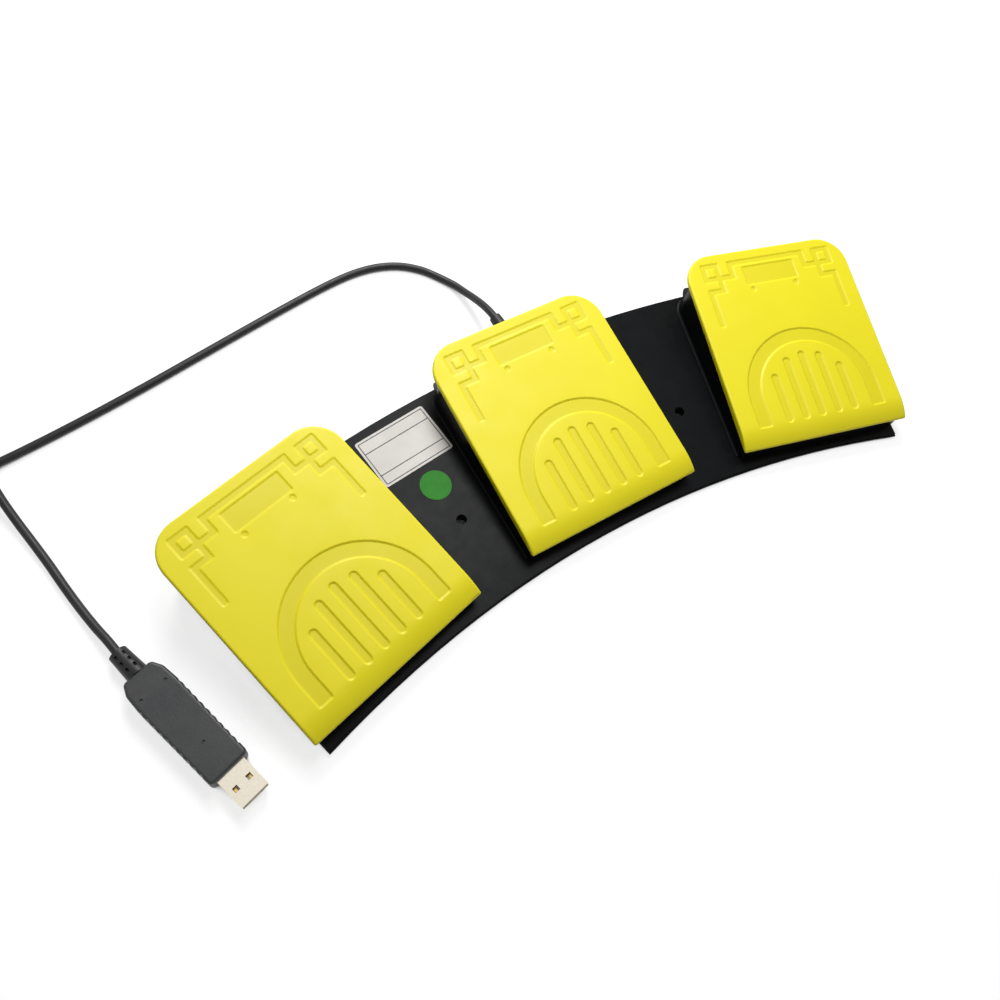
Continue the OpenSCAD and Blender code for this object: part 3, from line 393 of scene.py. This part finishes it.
# Rings of the rounded edge, in degrees, the flat rim inside them and the least height of the wall below
EDGE_ANGLES, RIM_INSET, LEAST_WALL = (0, 18, 36, 54, 72, 90), 0.25, 0.1
# Points of a ring round the nose, a rear corner, the rear and the front
NOSE_POINTS, REAR_CORNER_POINTS, REAR_POINTS, FRONT_POINTS = 6, 17, 11, 15
# Rows of points along the pedal: over the rolled front, and down the whole side
FRONT_ROWS = (1.5, 2.4, 3.5, 4.7, 6, 7.4)
SIDE_ROWS = (*FRONT_ROWS, 9, 11, *np.linspace(14, PEDAL_LEN - CORNER_R - 3, 12))
# How far the front rows stay inside the rim, and the top's loose points with their distance from lines
GUIDE_INSET = 0.9
GRID_U, GRID_S, GRID_CLEAR = np.arange(-40, 40.1, 5), (8.1, 9, 10, 11, 12.5, *np.arange(15, 95, 6)), 1.2
# Half a side of the square around a filled shape, well outside it
FAR = 300
# Points nearer than this are one, in a filled plan and in a mesh
FILL_EPS, MERGE = 1e-5, 1e-4
# The grooves marked for painted shade stay this far from the pedal's edges and front
SHADE_MARK_INSET, SHADE_MARK_FRONT = 2, 3
# A tolerance of heights, and how far the fittings under a pedal reach into it
NEAR, FITTING_SINK = 0.05, 0.3


def top(s):
    """Height of the pedal's top along its length, with the rolled front."""
    if s >= ROLL_LEN:
        return 0.0
    if s > ROLL_LEN - ROLL_R * math.sin(ROLL_END):
        return -ROLL_R + math.sqrt(ROLL_R**2 - (ROLL_LEN - s) ** 2)
    return NOSE_N + math.sqrt(max(EDGE_R**2 - (EDGE_R - s) ** 2, 0))


def under(s):
    """Height of the pedal's underside along its length."""
    return -LIP_DROP + s * (LIP_DROP - PEDAL_T) / PEDAL_LEN


def outline(phi, inset=0.0):
    """One ring round the pedal's rounded edge, from the wall (0 degrees) to the top (90 degrees)."""
    p = math.radians(phi)
    a = EDGE_R * (1 - math.cos(p)) + inset
    b = EDGE_R * (1 - math.cos(p * (1 - ROLL_END / (math.pi / 2)))) + inset
    fall = EDGE_R * (1 - math.sin(p))
    flat = HALF_W - CORNER_R
    right = []
    for t in np.linspace(-90, 0, NOSE_POINTS):
        c, d = math.cos(math.radians(t)), math.sin(math.radians(t))
        u, s = HALF_W - EDGE_R + (EDGE_R - a) * c, EDGE_R + (EDGE_R - b) * d
        drop = EDGE_R - math.sqrt(max(EDGE_R**2 - max(u - HALF_W + EDGE_R, 0) ** 2, 0))
        right.append((u, s, top(s) - drop))
    right += [(HALF_W - a, s, top(s) - fall) for s in SIDE_ROWS]
    for t in np.linspace(0, 90, REAR_CORNER_POINTS):
        c, d = math.cos(math.radians(t)), math.sin(math.radians(t))
        right.append((flat + (CORNER_R - a) * c, PEDAL_LEN - CORNER_R + (CORNER_R - a) * d, -fall))
    rear = [(u, PEDAL_LEN - a, -fall) for u in np.linspace(flat, -flat, REAR_POINTS)[1:-1]]
    left = [(-u, s, n) for u, s, n in reversed(right)]
    front = np.linspace(-HALF_W + EDGE_R, HALF_W - EDGE_R, FRONT_POINTS)[1:-1]
    return right + rear + left + [(u, b, top(b)) for u in front]


def corner(centre, turn, n0, n1):
    """Points and outward normals round a groove's corner between two edge normals."""
    a0 = math.atan2(n0[1], n0[0])
    sweep = (math.atan2(n1[1], n1[0]) - a0 + math.pi) % (2 * math.pi) - math.pi
    out = []
    for k in range(GROOVE_CORNER_STEPS + 1):
        a = a0 + sweep * k / GROOVE_CORNER_STEPS
        n = np.array((math.cos(a), math.sin(a)))
        out.append((np.array(centre) + turn * GROOVE_R * n, n))
    return out


def polygon_loop(points):
    """A closed edge with its groove on the left, as points and normals that lead out of the groove."""
    p = [np.array(x, float) for x in points]
    out = []
    for i in range(len(p)):
        e0, e1 = p[i] - p[i - 1], p[(i + 1) % len(p)] - p[i]
        n0, n1 = (np.array((e[1], -e[0])) / np.linalg.norm(e) for e in (e0, e1))
        turn = 1 if e0[0] * e1[1] - e0[1] * e1[0] > 0 else -1
        out += corner(p[i] - turn * GROOVE_R * (n0 + n1), turn, n0, n1)
    return filled(out)


def filled(loop):
    """The loop with further points along its long straight parts."""
    out = []
    for (a, n), (b, _) in zip(loop, loop[1:] + loop[:1]):
        steps = int(np.linalg.norm(b - a) / LOOP_STEP)
        out += [(a, n)] + [(a + (b - a) * k / (steps + 1), n) for k in range(1, steps + 1)]
    return out


def arc(centre, r, start, end, out, steps):
    """Points and normals along an arc, with the normals outwards (1) or inwards (-1)."""
    angles = np.radians(np.linspace(start, end, steps))
    dirs = [np.array((math.cos(a), math.sin(a))) for a in angles]
    return [(np.array(centre) + r * d, out * d) for d in dirs]


def fret_loops():
    """The edges of the fret, its panel and its dimples."""
    fret = FRET_HALF + [(-u, s) for u, s in reversed(FRET_HALF)]
    loops = [polygon_loop(fret[::-1])]
    for m in (-1, 1):
        loops.append(polygon_loop([(m * u, s) for u, s in ISLAND][::m]))
        loops.append(arc((m * FRET_DIMPLE[0], FRET_DIMPLE[1]), FRET_DIMPLE_R, 0, 345, 1, 24))
    near, far = ([(m * PANEL_U, s) for m in (-1, 1)] for s in (PANEL_FRONT, PANEL_BACK))
    loops.append(polygon_loop(near + far[::-1]))
    return loops


def arch_loops():
    """The edges of the arch and of the treads inside it."""
    x, y = np.array((1.0, 0.0)), np.array((0.0, 1.0))
    foot = ARCH_FOOT + GROOVE_R
    band = corner((ARCH_OUT - GROOVE_R, foot), 1, -y, x) + arc(ARCH, ARCH_OUT, 0, 180, 1, 61)
    band += corner((-ARCH_OUT + GROOVE_R, foot), 1, -x, -y) + corner((-ARCH_IN - GROOVE_R, foot), 1, -y, x)
    band += arc(ARCH, ARCH_IN, 180, 0, -1, 61) + corner((ARCH_IN + GROOVE_R, foot), 1, -x, -y)
    loops = [filled(band)]
    for k in range(-2, 3):
        u = TREAD_PITCH * k
        end = ARCH[1] + math.sqrt(TREAD_REACH**2 - u**2) - TREAD_R
        ends = arc((u, end), TREAD_R, 0, 180, 1, 13) + arc((u, TREAD_FOOT), TREAD_R, 180, 360, 1, 13)
        loops.append(filled(ends))
    return loops


def inside(points, loop):
    """Which points lie inside a closed line."""
    x, y = points[:, 0], points[:, 1]
    hit = np.zeros(len(points), bool)
    for (x0, y0), (x1, y1) in zip(loop, np.roll(loop, -1, 0)):
        if y0 != y1:
            hit ^= ((y0 > y) != (y1 > y)) & (x < (x1 - x0) * (y - y0) / (y1 - y0) + x0)
    return hit


def odd_faces(faces, walls, start):
    """The triangles that lie behind an odd number of walls, as seen from the starting one."""
    beside = {}
    for f, face in enumerate(faces):
        for k in range(3):
            beside.setdefault(frozenset((face[k], face[k - 1])), []).append(f)
    odd, queue = {start: False}, [start]
    while queue:
        f = queue.pop()
        for k in range(3):
            side = frozenset((faces[f][k], faces[f][k - 1]))
            for g in beside[side]:
                if g not in odd:
                    odd[g] = odd[f] != (side in walls)
                    queue.append(g)
    return [face for f, face in enumerate(faces) if odd.get(f)]


def fill(mesh, lines, height, extra=(), guides=()):
    """Fills the space between rings of mesh points with triangles, by way of loose points and open lines."""
    flat, known, edges = [], [], []
    for line in lines:
        first = len(flat)
        for u, s, vert in line:
            flat.append(Vector((u, s)))
            known.append(vert)
        edges += [(first + k, first + (k + 1) % len(line)) for k in range(len(line))]
    count = len(edges)
    for line in guides:
        edges += [(len(flat) + k, len(flat) + k + 1) for k in range(len(line) - 1)]
        flat += [Vector(q) for q in line]
    flat += [Vector(q) for q in extra]
    flat += [Vector((u, s)) for u in (-FAR, FAR) for s in (-FAR, FAR)]
    verts, sides, faces, origin, source, _ = delaunay_2d_cdt(flat, edges, [], 0, FILL_EPS)
    walls = {frozenset(side) for side, ids in zip(sides, source) if sum(k < count for k in ids) % 2}
    start = next(f for f, face in enumerate(faces) if any(len(flat) - 1 in origin[k] for k in face))
    made = {}
    for face in odd_faces(faces, walls, start):
        for k in face:
            if k not in made:
                old = [known[i] for i in origin[k] if i < len(known)]
                made[k] = old[0] if old else mesh.verts.new((*verts[k], height(verts[k].y)))
        corners = [made[k] for k in face]
        if len(set(corners)) == 3:
            mesh.faces.new(corners)


def ring(mesh, spots):
    """New points of a mesh, each with its place in plan."""
    return [(x, y, mesh.verts.new((x, y, z))) for x, y, z in spots]


def bridge(mesh, rings):
    """Joins each ring to the next by a strip of faces."""
    for a, b in zip(rings, rings[1:]):
        for k in range(len(a)):
            j = (k + 1) % len(a)
            mesh.faces.new((a[k][2], a[j][2], b[j][2], b[k][2]))


def groove_wall(mesh, loop, groove_d):
    """The sloping wall of a groove, as rings of points from the top down to the floor."""
    rings = []
    for d in GROOVE_STEPS:
        depth = groove_d * smooth((GROOVE_EDGE - d) / (2 * GROOVE_EDGE))
        rings.append(ring(mesh, [(u, s, top(s) - depth) for u, s in (q + d * n for q, n in loop)]))
    bridge(mesh, rings)
    return rings


def pedal_cover():
    """The cover in its own slope's frame, in millimetres."""
    mesh = bmesh.new()
    edge = [[(u, s, max(n, under(s))) for u, s, n in outline(phi)] for phi in EDGE_ANGLES]
    wall = [(u, s, min(under(s), n - LEAST_WALL)) for u, s, n in edge[0]]
    flat = [(u, s, top(s)) for u, s, _ in outline(EDGE_ANGLES[-1], RIM_INSET)]
    rings = [ring(mesh, spots) for spots in (wall, *edge, flat)]
    bridge(mesh, rings)
    mesh.faces.new([vert for _, _, vert in reversed(rings[0])])
    lines = [rings[-1]]
    for loops, groove_d in ((fret_loops(), FRET_D), (arch_loops(), ARCH_D)):
        walls = [groove_wall(mesh, loop, groove_d) for loop in loops]
        lines += [rows[0] for rows in walls]
        fill(mesh, [rows[-1] for rows in walls], lambda s, d=groove_d: top(s) - d)
    end = HALF_W - EDGE_R - GUIDE_INSET
    guides = [[(u, s) for u in np.linspace(-end, end, FRONT_POINTS)] for s in FRONT_ROWS]
    grid = np.array([(u, s) for u in GRID_U for s in GRID_S])
    clear = np.ones(len(grid), bool)
    plans = [np.array([(u, s) for u, s, _ in line]) for line in lines]
    for plan in plans:
        clear &= np.min(np.linalg.norm(grid[:, None] - plan[None], axis=2), axis=1) > GRID_CLEAR
    clear &= inside(grid, plans[0])
    grooves = sum(inside(grid, plan) for plan in plans[1:])
    fill(mesh, lines, top, grid[clear & (grooves % 2 == 0)], guides)
    bmesh.ops.remove_doubles(mesh, verts=mesh.verts, dist=MERGE)
    bmesh.ops.recalc_face_normals(mesh, faces=mesh.faces)
    mark_groove_shade(mesh)
    return mesh


def mark_groove_shade(mesh):
    """Stores how deep each point lies in a groove, as the mask of the material's painted shade."""
    layer = mesh.verts.layers.float.new("groove")
    for vert in mesh.verts:
        u, s, n = vert.co
        depth = top(s) - n
        on_top = abs(u) < HALF_W - SHADE_MARK_INSET and SHADE_MARK_FRONT < s < PEDAL_LEN - SHADE_MARK_INSET
        if on_top and depth < ARCH_D + NEAR:
            vert[layer] = min(depth / FRET_D, 1)


def add_fittings(mesh, i):
    """Adds what the solid carries under its cover: the lugs, the ribs, the spring's seat and the striker."""
    solid = bmesh.new()
    solid.from_mesh(nodes["pedal_" + NAMES[i]].data)
    a = math.radians(i * STEP)
    for vert in solid.verts:
        x, y, z = vert.co / MM
        y += ARC_Y
        u, v = x * math.cos(a) - y * math.sin(a), x * math.sin(a) + y * math.cos(a) - LIP_R + LIP_BACK
        z -= TOP_Z
        vert.co = (u, v * math.cos(SLOPE) + z * math.sin(SLOPE), z * math.cos(SLOPE) - v * math.sin(SLOPE))
    bmesh.ops.remove_doubles(solid, verts=solid.verts, dist=MERGE)
    above = [f for f in solid.faces if all(v.co.z > under(v.co.y) - NEAR for v in f.verts)]
    bmesh.ops.delete(solid, geom=above, context="FACES")
    rim = [e for e in solid.edges if e.is_boundary]
    for vert in {v for e in rim for v in e.verts}:
        vert.co.z += FITTING_SINK
    bmesh.ops.holes_fill(solid, edges=rim, sides=0)
    spare = bpy.data.meshes.new("fittings")
    solid.to_mesh(spare)
    solid.free()
    mesh.from_mesh(spare)
    bpy.data.meshes.remove(spare)


def make_pedals():
    cover = pedal_cover()
    for i, name in NAMES.items():
        mesh = cover.copy()
        add_fittings(mesh, i)
        for vert in mesh.verts:
            vert.co = on_slope(i, *vert.co)
        pedal = mesh_piece("cover_" + name, mesh, "pedal_yellow", 55)
        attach(pedal, name + "_pedal")
        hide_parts("pedal_" + name)
    cover.free()


make_pedals()


def make_springs():
    for name in NAMES.values():
        node = nodes["return_spring_" + name]
        spring = bpy.data.objects.new("spring_" + name, node.data.copy())
        scene.collection.objects.link(spring)
        spring.matrix_world = node.matrix_world
        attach(spring, "base")
        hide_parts("return_spring_" + name)
        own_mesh(spring)


make_springs()


# The plug's overmoulded body: a rounded block with scalloped grips along its sides
# Its plan is the hull of circles, each by its place along the plug, the plan's edge there and its radius
PLUG_CIRCLES = ((2, 6.9, 2), (5.6, 8.35, 4.6), (13, 8.85, 8), (48.2, 8.45, 1.8))
PLUG_T, PLUG_EDGE_R = 9, 1.2
# Points of a circle and of the plan, rings of the rounded edge and the flat rim inside them
CIRCLE_STEPS, PLUG_STEPS, PLUG_EDGE_RINGS, PLUG_RIM = 64, 520, 8, 0.25
GRIPS, GRIP_FROM, GRIP_PITCH, GRIP_D = 10, 12.8, 3.55, 0.6
DIMPLES, DIMPLE_R, DIMPLE_D = ((9.5, -5.4), (9.5, 5.4), (36.5, 0)), 0.65, 0.5
# Loose points of the flat faces, and their least distance from the middle of a dimple
PLUG_GRID_X, PLUG_GRID_Y, PLUG_CLEAR = np.arange(4.1, 47, 2.3), np.arange(-4.83, 5, 1.71), 1.2


def plug_plan():
    """Points around the plug's plan at even steps, and the outward normals there."""
    spots = []
    for x, edge, r in PLUG_CIRCLES:
        for a in np.linspace(0, math.tau, CIRCLE_STEPS, endpoint=False):
            spots += [(x + r * math.cos(a), side * (edge - r) + r * math.sin(a)) for side in (-1, 1)]
    hull = np.array([spots[k] for k in convex_hull_2d(spots)])
    hull = np.vstack([hull, hull[:1]])
    run = np.concatenate([[0], np.cumsum(np.linalg.norm(np.diff(hull, axis=0), axis=1))])
    at = np.linspace(0, run[-1], PLUG_STEPS, endpoint=False)
    points = np.stack([np.interp(at, run, hull[:, k]) for k in (0, 1)], axis=1)
    along = np.roll(points, -1, axis=0) - np.roll(points, 1, axis=0)
    out = np.stack([along[:, 1], -along[:, 0]], axis=1)
    out /= np.linalg.norm(out, axis=1)[:, None]
    if (out * (points - points.mean(axis=0))).sum() < 0:
        out = -out
    return points, out


def grip(x):
    """How far the grips of a side fall back from the plan at x."""
    t = (x - GRIP_FROM) / GRIP_PITCH
    if 0 <= t <= GRIPS - 1:
        t %= 1
        return GRIP_D * (1 - 4 * t * (1 - t))
    past = -t if t < 0 else t - GRIPS + 1
    return GRIP_D * max(0, 1 - 4 * past)


def make_plug_cover():
    mesh = bmesh.new()
    points, out = plug_plan()
    falls = np.array([grip(x) for x in points[:, 0]])
    half, r = PLUG_T / 2, PLUG_EDGE_R
    edge = [(math.sin(a), math.cos(a)) for a in np.radians(np.linspace(90, 0, PLUG_EDGE_RINGS))]
    levels = [(half, r + PLUG_RIM, 0)]
    levels += [(half - r * (1 - rise), r * (1 - reach), reach) for rise, reach in edge]
    levels += [(-z, inset, share) for z, inset, share in reversed(levels)]
    rings = []
    for z, inset, share in levels:
        spots = points - out * (inset + share * falls)[:, None]
        rings.append(ring(mesh, [(x, y, z) for x, y in spots]))
    bridge(mesh, rings)
    rims = []
    for centre in DIMPLES:
        spots = [q for q, _ in arc(centre, DIMPLE_R, 7, 352, 1, 24)]
        rim, foot = (ring(mesh, [(x, y, half - d) for x, y in spots]) for d in (0, DIMPLE_D))
        bridge(mesh, [rim, foot])
        mesh.faces.new([vert for _, _, vert in foot])
        rims.append(rim)
    grid = [Vector((x, y)) for x in PLUG_GRID_X for y in PLUG_GRID_Y]
    clear = [q for q in grid if all((q - Vector(centre)).length > PLUG_CLEAR for centre in DIMPLES)]
    fill(mesh, [rings[0], *rims], lambda y: half, clear)
    fill(mesh, [rings[-1]], lambda y: -half, grid)
    bmesh.ops.recalc_face_normals(mesh, faces=mesh.faces)
    side = Vector((-PLUG_AXIS.y, PLUG_AXIS.x, 0))
    for vert in mesh.verts:
        vert.co = (PLUG_PLACE + vert.co.x * PLUG_AXIS + vert.co.y * side + Vector((0, 0, vert.co.z))) * MM
    cover = mesh_piece("plug_cover", mesh, "plug_charcoal", 40)
    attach(cover, "base")
    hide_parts("plug_body")
    return cover


make_cord(make_plug_cover())


# Soft edges on the moulded casing and the plate
def soften(name, width):
    """Rounds the sharp edges of a CAD node by modifiers, with the node's own mesh left as it is."""
    piece = nodes[name]
    weld = piece.modifiers.new("weld", "WELD")
    weld.merge_threshold = 0.000002
    flat = piece.modifiers.new("flat_faces", "DECIMATE")
    flat.decimate_type = "DISSOLVE"
    flat.angle_limit = math.radians(0.5)
    bevel = piece.modifiers.new("soft_edges", "BEVEL")
    bevel.width = width * MM
    bevel.segments = 2
    bevel.limit_method = "ANGLE"
    bevel.angle_limit = math.radians(35)
    bevel.use_clamp_overlap = True
    bevel.miter_outer = "MITER_ARC"
    normals = piece.modifiers.new("normals", "WEIGHTED_NORMAL")
    normals.keep_sharp = True


soften("base_shell", 0.25)
soften("bottom_plate", 0.15)


# Label print: a thin frame and two rules, with no lettering
LABEL_SIZE = (35.1, 23.8)
LABEL_X, LABEL_BACK = 1.6, 74
STICKER_TOP = 0.24
# Width of a line, the frame's inset, the rules' places, and the print's lower and upper side
LINE_W, FRAME_INSET, RULES, PRINT_SIDES = 0.45, 1.2, (5.4, -6.2), (0.005, 0.02)
BOX_FACES = ((3, 2, 1, 0), (4, 5, 6, 7), (0, 1, 5, 4), (1, 2, 6, 5), (2, 3, 7, 6), (3, 0, 4, 7))


def on_label(du, dv, rise):
    """A point near the label's middle in the left valley, in the plane of the sloping deck there."""
    z = DECK_FRONT_Z + (LABEL_BACK + FRONT_LEDGE) * math.tan(DECK_SLOPE)
    dy = dv * math.cos(DECK_SLOPE) - rise * math.sin(DECK_SLOPE)
    dz = dv * math.sin(DECK_SLOPE) + rise * math.cos(DECK_SLOPE)
    return place(-0.5, LABEL_X + du, LABEL_BACK + dy, z + dz)


def make_label_print():
    half = LINE_W / 2
    w, h = (size / 2 - FRAME_INSET for size in LABEL_SIZE)
    bars = [(-w, w, v - half, v + half) for v in (-h, h)]
    bars += [(u - half, u + half, -h, h) for u in (-w, w)]
    bars += [(-w, w, v - half, v + half) for v in RULES]
    mesh = bmesh.new()
    for u0, u1, v0, v1 in bars:
        spots = [(u, v, n) for n in PRINT_SIDES for u, v in ((u0, v0), (u1, v0), (u1, v1), (u0, v1))]
        corners = [mesh.verts.new(on_label(u, v, STICKER_TOP + n)) for u, v, n in spots]
        for face in BOX_FACES:
            mesh.faces.new([corners[k] for k in face])
    piece = mesh_piece("label_print", mesh, "switch_black")
    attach(piece, "base")


make_label_print()


# Floor, world and lights
# The floor lies just under the feet, and what it reflects onto the object differs from what is seen of it
FLOOR_SIZE, FLOOR_Z, FLOOR_COLOR = 8, -0.00002, (0.8, 0.8, 0.8, 1)
SEEN_GLOW, SEEN_COLOR = 0.78, 0.35
# Under and near the object the floor's glow and faint colour are darkened by ambient occlusion into a painted
# shadow, so that a hole through the base looks dark
SHADE_REACH, SHADE_RANGE = 0.02, (0.22, 0.5)
WORLD_COLOR, WORLD_STRENGTH = (0.95, 0.97, 1, 1), 0.12


def seen_ray(tree):
    """1 for rays from the camera and for those that glossy or clear pieces send on, else 0."""
    path = tree.nodes.new("ShaderNodeLightPath")
    value = path.outputs["Is Camera Ray"]
    for kind in ("Is Glossy Ray", "Is Transmission Ray"):
        node = tree.nodes.new("ShaderNodeMath")
        node.operation = "MAXIMUM"
        tree.links.new(value, node.inputs[0])
        tree.links.new(path.outputs[kind], node.inputs[1])
        value = node.outputs[0]
    return value


def close_tree(tree, kind, plain, seen):
    """Ends a node tree in an output with one shader for seen rays and another for the rest."""
    mix = tree.nodes.new("ShaderNodeMixShader")
    tree.links.new(seen_ray(tree), mix.inputs["Fac"])
    tree.links.new(plain.outputs[0], mix.inputs[1])
    tree.links.new(seen.outputs[0], mix.inputs[2])
    tree.links.new(mix.outputs[0], tree.nodes.new(kind).inputs["Surface"])


def make_floor():
    bpy.ops.mesh.primitive_plane_add(size=FLOOR_SIZE, location=(0, 0, FLOOR_Z))
    floor = bpy.context.object
    floor.name = "floor"
    m = bpy.data.materials.new("floor_white")
    m.use_nodes = True
    tree = m.node_tree
    tree.nodes.clear()
    matte = tree.nodes.new("ShaderNodeBsdfDiffuse")
    matte.inputs["Color"].default_value = FLOOR_COLOR
    faint = tree.nodes.new("ShaderNodeBsdfDiffuse")
    glow = tree.nodes.new("ShaderNodeEmission")
    both = tree.nodes.new("ShaderNodeAddShader")
    tree.links.new(faint.outputs[0], both.inputs[0])
    tree.links.new(glow.outputs[0], both.inputs[1])
    # Painted shadow: ambient occlusion dims the floor's glow and colour near the object
    shadow_ao = tree.nodes.new("ShaderNodeAmbientOcclusion")
    shadow_ao.inputs["Distance"].default_value = SHADE_REACH
    shadow_ao.samples = 8
    for level, socket in ((SEEN_GLOW, glow.inputs["Strength"]), (SEEN_COLOR, faint.inputs["Color"])):
        tree.links.new(spread(tree, shadow_ao.outputs["AO"], 0, level, *SHADE_RANGE), socket)
    close_tree(tree, "ShaderNodeOutputMaterial", matte, both)
    floor.data.materials.append(m)


def make_world():
    world = bpy.data.worlds.new("world")
    scene.world = world
    world.use_nodes = True
    tree = world.node_tree
    tree.nodes.clear()
    soft = tree.nodes.new("ShaderNodeBackground")
    soft.inputs["Color"].default_value = WORLD_COLOR
    soft.inputs["Strength"].default_value = WORLD_STRENGTH
    white = tree.nodes.new("ShaderNodeBackground")
    white.inputs["Strength"].default_value = 1
    close_tree(tree, "ShaderNodeOutputWorld", soft, white)


def area_light(name, at, size, power):
    """A square lamp that points at the origin."""
    data = bpy.data.lights.new(name, "AREA")
    data.size = size
    data.energy = power
    lamp = bpy.data.objects.new(name, data)
    lamp.location = at
    lamp.rotation_euler = (-Vector(at)).to_track_quat("-Z", "Y").to_euler()
    scene.collection.objects.link(lamp)


make_floor()
make_world()
area_light("key", (0.16, 0.5, 0.55), 0.3, 4.3)
area_light("top", (0.1, 0.13, 0.55), 0.22, 1.45)
